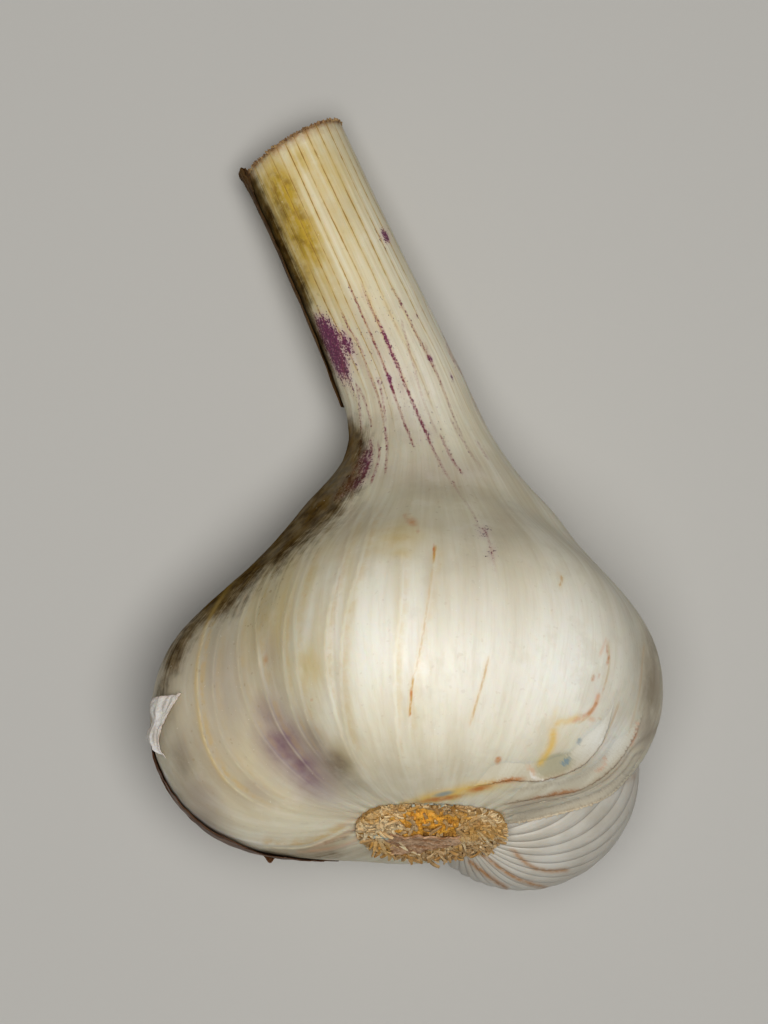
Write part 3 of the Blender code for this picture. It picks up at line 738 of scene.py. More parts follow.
# dirt and dry stain along the upper left shoulder, the left of the neck and the lower left outline, darkened further as
# painted shade where these edges turn from the light
soil_and_shade = np.zeros_like(turn)
for line, width, k in (
    ([(248, 178), (266, 217), (287, 264), (303, 302)], 10.0, 1.1), ([(300, 295), (314, 335), (328, 372), (339, 410), (345, 440)], 7.0, 1.0),
    ([(345, 440), (340, 470), (322, 500), (292, 526), (262, 552)], 25.0, 1.12), ([(275, 541), (262, 552), (232, 580), (210, 602)], 23.0, 1.0), ([(210, 602), (205, 606), (184, 636), (170, 664)], 13.0, 0.72),
    ([(268, 556), (282, 548), (300, 534), (318, 520)], 9.0, 0.8), ([(184, 636), (168, 670), (158, 700)], 8.0, 0.55),
    ([(152, 760), (172, 800), (202, 831), (240, 848)], 4.0, 0.8), ([(262, 854), (300, 857), (340, 855)], 5.0, 0.42), ([(325, 843), (345, 838), (356, 830)], 3.0, 0.40),
):
    d, s, side = line_distance(view, curve(line))
    d = d * (1 + 0.28 * fbm(np.stack([view[..., 0] / 16, view[..., 1] / 16, 0 * turn], -1), 3))
    soil_and_shade = np.maximum(soil_and_shade, facing * k * np.exp(-(d / width) ** 2))
for x, y, rx, ry, a, k in ((281, 553, 4, 5, 30, 1.0), (262, 566, 6, 14, 30, 0.6), (246, 598, 7, 22, 24, 0.5), (280, 205, 8, 26, -20, 0.42), (296, 236, 7, 24, -24, 0.40), (276, 590, 5, 26, 16, 0.30)):
    soil_and_shade = np.maximum(soil_and_shade, facing * k * blob(view, x, y, rx, ry, a))
# painted shade: every face that looks down is darkened
soil_and_shade = np.maximum(soil_and_shade, step(0.25, -0.05, outward[..., 2]) * 0.25)
round_left = (turn + 180.0) % 360.0 - 180.0
patchy = step(-0.55, 0.35, fbm(base / 7.0 + 3, 3))
soil_and_shade = np.maximum(soil_and_shade, hidden * 1.05 * step(-150.0, -104.0, round_left) * step(-55.0, -75.0, round_left) * step(-8.0, 14.0, station) * step(66.0, 44.0, station) * (0.35 + 0.65 * patchy))

# a lavender tint, darkened as painted shade in the crease left of the dome, over the left lobe and along the collar
lavender_and_shade = np.zeros_like(turn)
for x, y, rx, ry, a, k in (
    (286, 747, 25, 38, -38, 1.12), (302, 765, 22, 20, 0, 1.2), (270, 716, 18, 28, -26, 0.8), (311, 778, 30, 18, 36, 1.0), (225, 690, 40, 70, -6, 0.34), (278, 716, 12, 26, -20, 0.7), (270, 690, 12, 30, -14, 0.35), (215, 720, 44, 90, -6, 0.30),
    (205, 800, 20, 30, -35, 0.40), (185, 740, 10, 26, 0, 0.25), (255, 790, 24, 12, 30, 0.30), (440, 470, 70, 18, 0, 0.2), (400, 380, 40, 60, -22, 0.14),
    (270, 655, 10, 22, 0, 0.30), (480, 640, 120, 110, 0, 0.10),
):
    lavender_and_shade = np.maximum(lavender_and_shade, facing * k * blob(view, x, y, rx, ry, a))
lavender_and_shade = np.maximum(lavender_and_shade, hidden * 0.4 * step(0.0, 0.7, fbm(base / 16.0 + 31, 2)))

rust = np.zeros_like(turn)
for x, y, rx, ry, a, k in (
    (506, 781, 20, 4.0, -8, 1.0), (480, 789, 16, 4, -10, 0.8), (560, 794, 24, 4.0, -12, 0.75), (538, 799, 10, 3, -10, 0.7), (498, 760, 3.4, 4.2, 30, 1.0),
    (590, 712, 7, 3.0, -40, 0.62), (596, 704, 2.4, 6, 30, 0.6), (581, 716, 6, 2.6, 10, 0.55), (600, 718, 5, 1.8, 30, 0.5), (608, 660, 1.8, 5, 10, 0.9), (593, 678, 2.2, 2.8, 0, 1.0),
    (599, 676, 1.8, 2.2, 0, 1.0), (607, 650, 1.3, 8, -4, 0.7), (603, 690, 1.6, 4, 20, 0.6), (412, 522, 9, 6, 20, 0.62), (405, 516, 4, 4, 0, 0.5), (418, 531, 3, 4, 0, 0.5), (434, 550, 1.6, 6, 0, 0.9), (550, 742, 4, 8, 20, 0.25),
    (411, 694, 1.8, 7, 0, 0.9), (410, 713, 1.5, 2.4, 0, 0.9), (440, 799, 30, 3.0, -8, 0.8), (265, 660, 4, 9, 0, 0.5), (600, 770, 9, 3, -30, 0.35), (636, 737, 2.0, 8, 20, 0.5),
    (305, 596, 3, 3, 0, 0.4), (312, 700, 3, 2, 0, 0.5), (245, 596, 2, 8, 20, 0.4), (545, 572, 7, 2, 20, 0.25),
):
    rust = np.maximum(rust, facing * k * blob(view, x, y, rx, ry, a))

blue = np.maximum(blob(view, 579, 741, 3.0, 3.0, 0), 1.1 * blob(view, 566, 762, 6.0, 3.0, -30)) * facing
blue = np.maximum(blue, 0.35 * facing * blob(view, 460, 726, 3.0, 2.4, 0))
blue = np.maximum(blue, 0.9 * facing * blob(view, 444, 794, 13.0, 2.8, -12))

arc, branch = np.zeros_like(turn), np.zeros_like(turn)
for line, width, k in (([(553, 727), (552, 744), (543, 760), (536, 767)], 3.6, 1.0), ([(553, 727), (560, 722), (568, 721), (580, 715)], 3.0, 0.7), ([(412, 803), (432, 797), (452, 793), (474, 787), (502, 782)], 5.0, 1.0),
                       ([(556, 706), (553, 727)], 3.0, 0.25), ([(236, 577), (214, 609), (203, 635), (196, 680), (202, 735), (221, 775), (235, 790)], 2.0, 0.42), ([(398, 806), (422, 799)], 3.0, 0.7)):
    d, s, side = line_distance(view, curve(line))
    arc = np.maximum(arc, facing * k * np.exp(-(d / width) ** 2) * step(-0.05, 0.15, s) * step(1.05, 0.85, s))
for line, width, k in (([(575, 720), (587, 715), (595, 705), (598, 696)], 2.0, 0.9), ([(587, 715), (594, 722)], 1.6, 0.7), ([(596, 773), (604, 766), (606, 758)], 1.8, 0.5),
                       ([(632, 746), (637, 733), (638, 722)], 1.8, 0.6), ([(529, 768), (534, 772)], 2.2, 0.6), ([(600, 655), (606, 640)], 1.6, 0.4),
                       ([(314, 847), (336, 839), (355, 828)], 2.6, 0.40), ([(300, 852), (330, 849), (352, 842), (362, 834)], 2.0, 0.42), ([(340, 826), (350, 822), (358, 818)], 2.0, 0.30)):
    d, s, side = line_distance(view, curve(line))
    branch = np.maximum(branch, facing * k * np.exp(-(d / width) ** 2))

# the thin oval where a darker layer shows through, with a bright rim below it
olive = facing * step(1.25, 0.85, np.sqrt(((view[..., 0] - 554) / 18.0) ** 2 + ((view[..., 1] - 765 + 0.25 * (view[..., 0] - 554)) / 10.0) ** 2))
d, s, side = line_distance(view, curve([(529, 771), (535, 778), (545, 780), (554, 779), (561, 774)]))
bright_rim = facing * np.exp(-(d / 1.5) ** 2) * step(0.0, 0.1, s) * step(1.0, 0.85, s)
d, s, side = line_distance(view, curve([(160, 762), (170, 786), (188, 808), (214, 828), (244, 840), (275, 844), (310, 842)]))
bright_rim = np.maximum(bright_rim, 0.55 * facing * np.exp(-(d / 1.6) ** 2) * step(0.0, 0.1, s) * step(1.0, 0.85, s))
relief += 0.10 * bright_rim - 0.06 * olive
points = base + outward * relief[..., None]
points = points + (np.maximum(0.55 - (points - ROOT) @ PLATE_AXIS, 0.0) * step(8.9, 8.3, flat))[..., None] * PLATE_AXIS
points = points + near_end * np.tan(radians(CUT_SKEW)) * ((points - LINE[-1]) @ side_way)[..., None] * AWAY
points[-1] += ragged[-1][:, None] * AWAY
points[-2] += 0.5 * ragged[-1][:, None] * AWAY

# fine drawn lines: distance in millimetres, and how strongly the line shows there
OCHRE_LINES = [
    ([(436, 545), (433, 562)], 1.0), ([(433, 562), (429, 595), (422, 640), (414, 680)], 0.42), ([(413, 676), (411, 700), (409, 718)], 0.9),
    ([(489, 655), (483, 681), (476, 704), (469, 728)], 0.6),
    ([(608, 640), (609, 668), (603, 690)], 0.35),
    ([(645, 640), (640, 690), (628, 740)], 0.25),
    ([(597, 700), (588, 716), (577, 724)], 0.45),
    ([(620, 700), (606, 738), (590, 760)], 0.35),
    ([(556, 573), (562, 577), (561, 584), (557, 587)], 0.6),
]
d_line = np.full(turn.shape, 9.0)
k_line = np.zeros_like(turn)
for line, strength in OCHRE_LINES:
    d, s, side = line_distance(view, curve(line))
    d = np.where(facing > 0.5, d * STEP, 9.0)
    fade = strength * step(-0.02, 0.12, s) * step(1.02, 0.85, s)
    nearer = d < d_line
    k_line = np.where(nearer, fade, k_line)
    d_line = np.minimum(d, d_line)

EDGE_LINES = [(LAYER_ONE, 0.7), (LAYER_TWO, 0.6), (OUTER_EDGE, 0.12)]
d_edge = np.full(turn.shape, 9.0)
k_edge = np.zeros_like(turn)
for line, strength in EDGE_LINES:
    d, s, side = line_distance(view, line)
    d = np.where(facing > 0.5, d * STEP, 9.0)
    fade = strength * step(-0.02, 0.1, s) * step(0.95, 0.45, s)
    nearer = d < d_edge
    k_edge = np.where(nearer, fade, k_edge)
    d_edge = np.minimum(d, d_edge)

# an olive tint that is also painted shade: darker on the left lobe, the left of the neck and the collar
olive_tint_and_shade = np.zeros_like(turn)
for x, y, rx, ry, a, k in ((215, 640, 34, 60, 20, 0.45), (262, 600, 14, 50, 24, 0.7), (200, 740, 16, 60, 0, 0.35), (232, 705, 34, 70, 0, 0.35), (318, 320, 10, 60, -24, 0.7), (275, 225, 14, 50, -24, 0.8), (420, 500, 90, 18, 6, 0.30)):
    olive_tint_and_shade = np.maximum(olive_tint_and_shade, facing * k * blob(view, x, y, rx, ry, a))
# whiter skin, with painted highlights at the brightest places of the dome
pale_skin_and_highlight = np.zeros_like(turn)
for x, y, rx, ry, a, k in ((400, 640, 46, 80, 0, 1.0), (560, 670, 80, 90, 0, 1.0), (480, 660, 70, 80, 0, 0.8), (335, 640, 12, 90, 4, 0.85), (325, 600, 8, 60, 6, 0.5), (310, 610, 6, 70, 10, 0.5), (604, 738, 34, 26, -30, 1.1), (395, 541, 26, 14, 0, 0.5), (455, 330, 20, 80, -24, 0.6), (420, 400, 30, 50, -20, 0.4), (365, 640, 16, 80, 0, 0.8)):
    pale_skin_and_highlight = np.maximum(pale_skin_and_highlight, facing * k * blob(view, x, y, rx, ry, a))
end_band = step(LENGTH - 1.3, LENGTH - 0.2, station)


def with_cap(a, cap_value):
    return np.concatenate([a, np.broadcast_to(cap_value, (len(cap_shares), AROUND, *a.shape[2:]))], 0)


zero = np.zeros((len(cap_shares), AROUND))
values = {
    "cyl": with_cap(cyl, 0.0).reshape(-1, 3),
    "phase": with_cap(phase_cs, 0.0).reshape(-1, 3),
    "paint_a": np.stack([with_cap(purple, 0.0), with_cap(warm, 0.0), with_cap(grey_dirt_and_shade, 0.0)], -1).reshape(-1, 3),
    "paint_b": np.stack([with_cap(lavender_and_shade, 0.0), with_cap(rust, 0.0), with_cap(blue, 0.0)], -1).reshape(-1, 3),
    "fine": np.stack([with_cap(d_line, 9.0), with_cap(k_line, 0.0), with_cap(bare_neck, 1.0)], -1).reshape(-1, 3),
    "edge": np.stack([with_cap(d_edge, 9.0), with_cap(k_edge, 0.0), with_cap(rib_groove_shade, 0.0)], -1).reshape(-1, 3),
    "tint": np.stack([with_cap(olive_tint_and_shade, 0.0), with_cap(pale_skin_and_highlight, 0.0), with_cap(grey_zone, 0.0)], -1).reshape(-1, 3),
    "ridge": np.stack([with_cap(d_ridge, 9.0), with_cap(k_ridge, 0.0), with_cap(step(-0.5, 0.5, ridge_side), 0.0)], -1).reshape(-1, 3),
    "vein": np.stack([with_cap(between_veins, 1.0), with_cap(d_streak, 9.0), with_cap(k_streak, 0.0)], -1).reshape(-1, 3),
    "dirt_and_shade": np.stack([with_cap(soil_and_shade, 0.0), with_cap(olive, 0.0), with_cap(bright_rim, 0.0)], -1).reshape(-1, 3),
    "arc": np.stack([with_cap(arc, 0.0), with_cap(branch, 0.0), with_cap(np.zeros_like(turn), 0.0)], -1).reshape(-1, 3),
    "cut": np.stack([with_cap(end_band, 1.0), with_cap(np.zeros_like(turn), 1.0), np.concatenate([np.ones_like(turn), cap_tone])], -1).reshape(-1, 3),
}
everything = np.concatenate([points, cap], 0)
rows, columns = everything.shape[:2]
flat_points = everything.reshape(-1, 3)
faces = [tuple(f) for f in grid_faces(rows, columns)]
foot_index, end_index = rows * columns, rows * columns + 1
flat_points = np.vstack([flat_points, everything[0].mean(0), everything[-1].mean(0)])
last = (rows - 1) * columns
for j in range(columns):
    k = (j + 1) % columns
    faces.append((foot_index, k, j))
    faces.append((end_index, last + j, last + k))
values = {key: np.vstack([v, v[0], v[-1]]) for key, v in values.items()}
flat_points[:, 2] = np.maximum(flat_points[:, 2], 0.0)
bulb = make("wrapped_bulb_skin", flat_points, faces, values)


def skin_material(name, scatter):
    n = Nodes(name)
    cylinder = n.attribute("cyl")
    a, b = n.split(n.attribute("paint_a")), n.split(n.attribute("paint_b"))
    fine, edge, cut = n.split(n.attribute("fine")), n.split(n.attribute("edge")), n.split(n.attribute("cut"))
    ph = n.split(n.attribute("phase"))
    wave = n.math("DIVIDE", n.math("ABSOLUTE", n.math("ARCTAN2", ph[1], ph[0])), pi)   # 0 on a vein, 1 between veins
    fibres = n.noise(n.scaled(cylinder, (34.0, 34.0, 7.0)), 1.0, 4.0, 0.6)
    streaks = n.noise(n.scaled(cylinder, (9.0, 9.0, 1.6)), 1.0, 3.0, 0.55)
    clouds = n.noise(n.scaled(cylinder, (2.2, 2.2, 5.0)), 1.0, 3.0, 0.5)
    coords = n.tree.nodes.new("ShaderNodeTexCoord").outputs["Object"]
    grain = n.noise(coords, 1400.0, 3.0, 0.6)
    speck = n.noise(coords, 2600.0, 2.0, 0.7)

    tint = n.split(n.attribute("tint"))
    ridge, vein_at, dirt_and_shade = n.split(n.attribute("ridge")), n.split(n.attribute("vein")), n.split(n.attribute("dirt_and_shade"))
    mottle = n.noise(coords, 210.0, 4.0, 0.62)
    small = n.noise(coords, 700.0, 3.0, 0.6)
    colour = n.mix(n.ramp(streaks, 0.32, 0.70), (0.78, 0.745, 0.61), (0.68, 0.625, 0.47))
    colour = n.mix(n.math("MULTIPLY", n.ramp(clouds, 0.45, 0.72), 0.30), colour, (0.60, 0.55, 0.42))
    # whiter skin and painted highlights on the dome
    colour = n.mix(n.math("MULTIPLY", tint[1], 0.90, clamp=True), colour, (0.935, 0.94, 0.885))
    # olive tint, also painted shade on the left lobe, the left of the neck and the collar
    colour = n.mix(n.math("MULTIPLY", tint[0], 0.55), colour, (0.50, 0.49, 0.31))
    colour = n.mix(n.math("MULTIPLY", n.ramp(fibres, 0.42, 0.75), 0.16), colour, (0.52, 0.42, 0.24))
    colour = n.mix(n.math("MULTIPLY", n.ramp(mottle, 0.50, 0.66), 0.22), colour, (0.60, 0.55, 0.44))
    colour = n.mix(n.math("MULTIPLY", n.ramp(mottle, 0.30, 0.44, 1.0, 0.0), 0.25), colour, (0.84, 0.81, 0.72))
    warm_mask = n.math("MULTIPLY", a[1], n.ramp(streaks, 0.25, 0.62, 0.60, 1.10))
    warm_mask = n.math("MULTIPLY", warm_mask, n.ramp(small, 0.30, 0.62, 0.80, 1.10))
    colour = n.mix(n.math("MULTIPLY", warm_mask, 0.84), colour, n.mix(a[1], (0.72, 0.56, 0.19), (0.55, 0.385, 0.05)))
    blotch = n.math("MULTIPLY", n.math("MULTIPLY", n.ramp(a[1], 0.62, 1.15), n.ramp(n.noise(coords, 420.0, 4.0, 0.65), 0.44, 0.62)), 0.72)
    colour = n.mix(blotch, colour, (0.30, 0.18, 0.03))
    # grey dirt, and painted shade at the edges, the collar and the creases
    colour = n.mix(n.math("MULTIPLY", a[2], n.ramp(mottle, 0.30, 0.62, 0.45, 0.78)), colour, (0.28, 0.225, 0.15))
    # lavender tint, darker as painted shade in the crease and along the collar
    colour = n.mix(n.math("MULTIPLY", b[0], n.ramp(mottle, 0.30, 0.62, 0.92, 0.66), clamp=True), colour, (0.235, 0.135, 0.195))
    colour = n.mix(n.math("MULTIPLY", tint[2], 0.35), colour, (0.42, 0.37, 0.31))
    # painted shade in the grooves between the ribs of the lower layers
    colour = n.mix(n.math("MULTIPLY", edge[2], 0.55), colour, (0.22, 0.16, 0.11))
    colour = n.mix(n.math("MULTIPLY", dirt_and_shade[1], 0.60), colour, (0.44, 0.42, 0.27))
    colour = n.mix(n.math("MULTIPLY", dirt_and_shade[2], 0.95), colour, (0.93, 0.92, 0.88))
    freckle = n.math("MULTIPLY", n.ramp(n.noise(coords, 1500.0, 1.0, 0.4), 0.30, 0.25), n.math("ADD", 0.10, n.math("MULTIPLY", tint[0], 0.75)), clamp=True)
    colour = n.mix(freckle, colour, (0.36, 0.25, 0.13))
    # folds: a pale crest with an ochre line below it, and painted shade on the lower skin beside each fold
    crest = n.math("MULTIPLY", n.math("MULTIPLY", n.ramp(ridge[0], 0.03, 0.20, 1.0, 0.0), ridge[1]), n.ramp(small, 0.30, 0.60, 0.5, 1.0))
    colour = n.mix(n.math("MULTIPLY", crest, 0.62), colour, (0.87, 0.80, 0.60))
    foot = n.math("MULTIPLY", n.math("MULTIPLY", n.ramp(ridge[0], 0.22, 0.45), n.ramp(ridge[0], 0.50, 1.5, 1.0, 0.0)), n.math("MULTIPLY", ridge[1], n.math("SUBTRACT", 1.0, ridge[2])))
    colour = n.mix(n.math("MULTIPLY", foot, n.ramp(small, 0.35, 0.62, 0.15, 0.60)), colour, (0.62, 0.43, 0.15))
    shade = n.math("MULTIPLY", n.math("MULTIPLY", n.ramp(ridge[0], 0.15, 2.2, 1.0, 0.0), ridge[1]), n.math("MULTIPLY", ridge[2], 0.34))
    colour = n.mix(shade, colour, (0.40, 0.30, 0.15))
    # veins: fine ochre lines, crisp on the neck and nearly gone on the bulb
    wobble = n.math("MULTIPLY", n.math("SUBTRACT", n.noise(coords, 900.0, 2.0, 0.5), 0.5), 0.35)
    from_vein = n.math("ABSOLUTE", n.math("ADD", n.math("MULTIPLY", n.math("MULTIPLY", wave, vein_at[0]), 0.5), n.math("MULTIPLY", wobble, 0.4)))
    vein = n.ramp(from_vein, 0.015, 0.062, 1.0, 0.0)
    vein_level = n.math("MULTIPLY", fine[2], 1.05, clamp=True)
    vein_patch = n.ramp(n.noise(n.scaled(cylinder, (16.0, 16.0, 9.0)), 1.0, 4.0, 0.7), 0.34, 0.58, 0.18, 1.0)
    vein_mask = n.math("MULTIPLY", vein, n.math("MULTIPLY", vein_level, vein_patch))
    colour = n.mix(vein_mask, colour, n.mix(n.ramp(a[1], 0.1, 0.6), (0.36, 0.21, 0.05), (0.26, 0.13, 0.012)))
    halo = n.math("MULTIPLY", n.ramp(from_vein, 0.04, 0.26, 0.34, 0.0), n.math("MULTIPLY", fine[2], 0.9))
    colour = n.mix(halo, colour, (0.64, 0.45, 0.11))
    # purple: specks gather along the veins
    stretched = n.scaled(cylinder, (30.0, 30.0, 90.0))
    peppers = n.noise(stretched, 1.0, 2.0, 0.75)
    fine_pepper = n.noise(coords, 4200.0, 2.0, 0.7)
    dots = n.math("ADD", n.math("MULTIPLY", peppers, 0.50), n.math("MULTIPLY", fine_pepper, 0.50))
    on_vein = n.math("MULTIPLY", n.ramp(from_vein, 0.05, 0.30, 1.0, 0.0), n.ramp(a[0], 0.03, 0.16))
    drive = n.math("ADD", a[0], n.math("MULTIPLY", on_vein, 0.16))
    threshold = n.ramp(drive, 0.0, 1.0, 0.675, 0.40, smooth=False)
    speckled = n.ramp(n.math("SUBTRACT", dots, threshold), -0.025, 0.045)
    solid = n.ramp(a[0], 0.85, 1.75)
    present = n.ramp(a[0], 0.04, 0.14)
    purple_mask = n.math("MULTIPLY", n.math("MAXIMUM", n.math("MULTIPLY", speckled, present), n.math("MULTIPLY", solid, 0.85)), 0.93, clamp=True)
    blush = n.math("MULTIPLY", n.ramp(a[0], 0.10, 0.9), 0.42)
    colour = n.mix(blush, colour, (0.42, 0.13, 0.30))
    purple_tone = n.mix(n.ramp(fine_pepper, 0.35, 0.65), (0.23, 0.022, 0.125), (0.085, 0.007, 0.050))
    colour = n.mix(purple_mask, colour, purple_tone)
    core = n.math("MULTIPLY", n.ramp(vein_at[1], 0.08, 0.20, 1.0, 0.0), n.math("MULTIPLY", vein_at[2], n.ramp(dots, 0.40, 0.56, 0.15, 1.0)), clamp=True)
    colour = n.mix(n.math("MULTIPLY", core, 0.85), colour, n.mix(n.ramp(a[0], 0.3, 0.8), (0.30, 0.075, 0.055), (0.19, 0.018, 0.085)))
    # dirt, and painted shade along the dark left edges and on the faces that look down
    long_streaks = n.noise(n.scaled(cylinder, (52.0, 52.0, 5.0)), 1.0, 4.0, 0.62)
    driven = n.math("ADD", dirt_and_shade[0], n.math("ADD", n.math("MULTIPLY", n.math("SUBTRACT", long_streaks, 0.5), n.math("MULTIPLY", n.ramp(dirt_and_shade[0], 0.04, 0.35), 0.8)), n.math("MULTIPLY", n.math("SUBTRACT", small, 0.5), n.math("MULTIPLY", n.ramp(dirt_and_shade[0], 0.04, 0.35), 0.6))))
    dirty_and_shaded = n.math("MULTIPLY", n.ramp(driven, 0.08, 0.92, 0.0, 0.97), n.ramp(mottle, 0.32, 0.62, 0.82, 1.02), clamp=True)
    colour = n.mix(dirty_and_shaded, colour, n.mix(n.ramp(small, 0.36, 0.66), (0.155, 0.092, 0.018), (0.068, 0.036, 0.007)))
    # ochre lines, torn edges and stains
    line_width = n.ramp(fine[0], 0.05, 0.20, 1.0, 0.0)
    line_mask = n.math("MULTIPLY", n.math("MULTIPLY", line_width, fine[1]), n.ramp(fibres, 0.30, 0.55, 0.4, 1.0))
    colour = n.mix(line_mask, colour, (0.56, 0.33, 0.09))
    soft_line = n.math("MULTIPLY", n.math("MULTIPLY", n.ramp(fine[0], 0.0, 0.6, 1.0, 0.0), fine[1]), 0.3)
    colour = n.mix(soft_line, colour, (0.70, 0.50, 0.20))
    edge_mask = n.math("MULTIPLY", n.math("MULTIPLY", n.ramp(edge[0], 0.04, 0.22, 1.0, 0.0), edge[1]), n.ramp(grain, 0.30, 0.60, 0.5, 1.0))
    colour = n.mix(edge_mask, colour, (0.36, 0.17, 0.05))
    edge_soft = n.math("MULTIPLY", n.math("MULTIPLY", n.ramp(edge[0], 0.0, 1.0, 1.0, 0.0), edge[1]), 0.35)
    colour = n.mix(edge_soft, colour, (0.62, 0.40, 0.18))
    curved = n.split(n.attribute("arc"))
    colour = n.mix(n.math("MULTIPLY", curved[0], n.ramp(small, 0.25, 0.55, 0.45, 0.85)), colour, (0.80, 0.56, 0.15))
    colour = n.mix(n.math("MULTIPLY", curved[1], n.ramp(small, 0.30, 0.60, 0.35, 0.90)), colour, (0.76, 0.42, 0.25))
    rust_mask = n.math("MULTIPLY", n.ramp(b[1], 0.15, 0.9), n.ramp(grain, 0.25, 0.60, 0.5, 1.0))
    colour = n.mix(rust_mask, colour, (0.56, 0.22, 0.05))
    colour = n.mix(n.math("MULTIPLY", n.ramp(b[2], 0.2, 0.9), 0.75), colour, (0.22, 0.34, 0.42))
    # pale flecks of dust
    fleck = n.math("MULTIPLY", n.ramp(speck, 0.70, 0.76), 0.45)
    colour = n.mix(fleck, colour, (0.90, 0.88, 0.84))
    # the cut: brown dry ends of the sheaths, darker between them as painted shade in the grooves, paler inside
    end = n.mix(cut[2], (0.20, 0.12, 0.06), (0.62, 0.47, 0.26))
    end = n.mix(n.ramp(grain, 0.4, 0.7), end, (0.48, 0.30, 0.15))
    colour = n.mix(cut[1], colour, end)
    band_mask = n.math("MULTIPLY", cut[0], n.ramp(grain, 0.3, 0.6, 0.4, 1.0))
    colour = n.mix(n.math("MULTIPLY", band_mask, n.math("SUBTRACT", 1.0, cut[1])), colour, (0.40, 0.22, 0.10))

    rough = n.ramp(fibres, 0.3, 0.7, 0.46, 0.62)
    height = n.math("ADD", n.math("MULTIPLY", fibres, 0.7), n.math("MULTIPLY", grain, 0.25))
    height = n.math("SUBTRACT", height, n.math("MULTIPLY", vein_mask, 0.7))
    height = n.math("SUBTRACT", height, n.math("MULTIPLY", edge_mask, 1.5))
    normal = n.bump(height, 0.35, 0.00012)
    shine = n.ramp(dirty_and_shaded, 0.1, 0.8, 0.5, 0.0)
    rough = n.math("ADD", rough, n.math("MULTIPLY", dirty_and_shaded, 0.38), clamp=True)
    return n.finish(colour, rough, normal, subsurface=scatter, radius=(1.0, 0.62, 0.36), scale=0.0016, specular=shine)


SKIN = skin_material("garlic_skin", 0.35)
SKIN_EDGE = skin_material("garlic_skin_torn", 0.0)
bulb.data.materials.append(SKIN)
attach(bulb, "root")
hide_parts("wrapped_bulb")


# where in the view each upper point of the skin lies, so that thin pieces laid on it carry the same marks
vertex_at = index_map(points, outward)
seen_points = seen(points)


def carried(q):
    """The values of the skin below places in the view."""
    i = vertex_at[np.clip(np.round(q[..., 1]).astype(int), 0, 1099), np.clip(np.round(q[..., 0]).astype(int), 0, 899)]
    i = np.maximum(i, 0)
    return i, {key: v[i] for key, v in values.items()}


def torn_sheet(name, edge, width, lift, ragged, seed, count=260, across=16, reach_in=-0.10, line=1.0):
    """A strip of skin on the upper side that ends in a torn edge and dives into the skin behind it."""
    q0, left = along_curve(edge, count)
    s = np.linspace(0, 1, count)
    rough = ragged * (0.7 * noise(np.stack([s * 46 + seed, 0 * s, 0 * s], -1)) + 0.5 * noise(np.stack([s * 130 + seed, 0 * s + 2, 0 * s], -1)))
    c = np.linspace(0, 1, across) ** 1.3
    fade = step(0.0, 0.16, s) * step(1.0, 0.70, s)
    q = q0[:, None] - left[:, None] * ((rough * fade)[:, None, None] - 0.0) * (1 - c)[None, :, None] + left[:, None] * (width * c)[None, :, None] * (0.12 + 0.88 * fade)[:, None, None]
    i, carried_values = carried(q)
    p = drape(q, whole_distance)
    n = slope(p, whole_distance)
    height = reach_in + (lift * fade[:, None] - reach_in) * (1 - c[None]) ** 1.2
    relief_here = relief.ravel()[np.minimum(i, relief.size - 1)]
    for _ in range(3):
        relief_here = (relief_here + np.roll(relief_here, 1, 0) + np.roll(relief_here, -1, 0)) / 3
    low = p + n * (relief_here + height - 0.09)[..., None]
    high = p + n * (relief_here + height)[..., None]
    new = dict(carried_values)
    e = new["edge"].copy()
    e[..., 0] = np.minimum(e[..., 0] + 0.25, (c * width * STEP)[None] + 0.0)
    e[..., 1] = (step(0.95, 0.45, s) * line)[:, None] * np.ones_like(e[..., 1]) * (0.55 + 0.45 * noise(np.stack([s * 30 + seed, 0 * s, 0 * s + 5], -1)))[:, None] * np.ones_like(e[..., 1])
    new["edge"] = e
    obj = shell(name, low, high, new)
    obj.data.materials.append(SKIN_EDGE)
    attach(obj, "root")
    return obj


torn_sheet("torn_layer_one", LAYER_ONE, 26.0, 0.26, 1.6, 3.0)
torn_sheet("torn_layer_two", LAYER_TWO, 22.0, 0.24, 1.6, 9.0)
torn_sheet("torn_layer_end", LAYER_END, 13.0, 0.30, 2.2, 15.0, line=0.55)


# ---------------------------------------------------------------- the exposed clove
def unit(v):
    return v / np.linalg.norm(v)


X_AROUND = RIBS * 14
x_tilts = np.radians(np.concatenate([np.linspace(0.6, 20.0, 34, endpoint=False), np.linspace(20.0, 178.0, 118)]))
x_middle = at(*EXPOSED_MIDDLE)
to_foot, to_tip = unit(at(*EXPOSED_FOOT) - x_middle), unit(at(*EXPOSED[1][:3]) - x_middle)
poles, lean = unit(to_foot - to_tip), unit(to_foot + to_tip)
x_side, pull = np.cross(lean, poles), float(to_foot @ lean)
squeeze = sqrt(1.0 - pull * pull)
x_turns = np.arange(X_AROUND) / X_AROUND * 2 * pi
x_c = (np.cos(x_turns) - pull) / (1.0 - pull * np.cos(x_turns))
x_s = squeeze * np.sin(x_turns) / (1.0 - pull * np.cos(x_turns))
way = poles * np.cos(x_tilts)[:, None, None] + (lean * x_c[:, None] + x_side * x_s[:, None])[None] * np.sin(x_tilts)[:, None, None]
share = (way @ lean)[..., None]
way = (lean * (share + pull) + (way - lean * share) * squeeze) / (1.0 + pull * share)
origin = np.broadcast_to(x_middle, way.shape)
x_base = skin(origin, way, exposed_distance)
x_out = normals(x_base)
xt = np.repeat(np.degrees(x_turns)[None], len(x_tilts), 0)
xs = np.repeat(np.degrees(x_tilts)[:, None], X_AROUND, 1) * 0.4
x_wander = 0.20 * np.sin(np.radians(xt) * 2 + 1) + 0.16 * np.sin(np.radians(xt) * 3 + xs / 20.0) + 0.10 * noise(np.stack([np.cos(np.radians(xt)) * 5, np.sin(np.radians(xt)) * 5, xs / 14.0], -1))
x_phase = xt / 360.0 * RIBS + x_wander
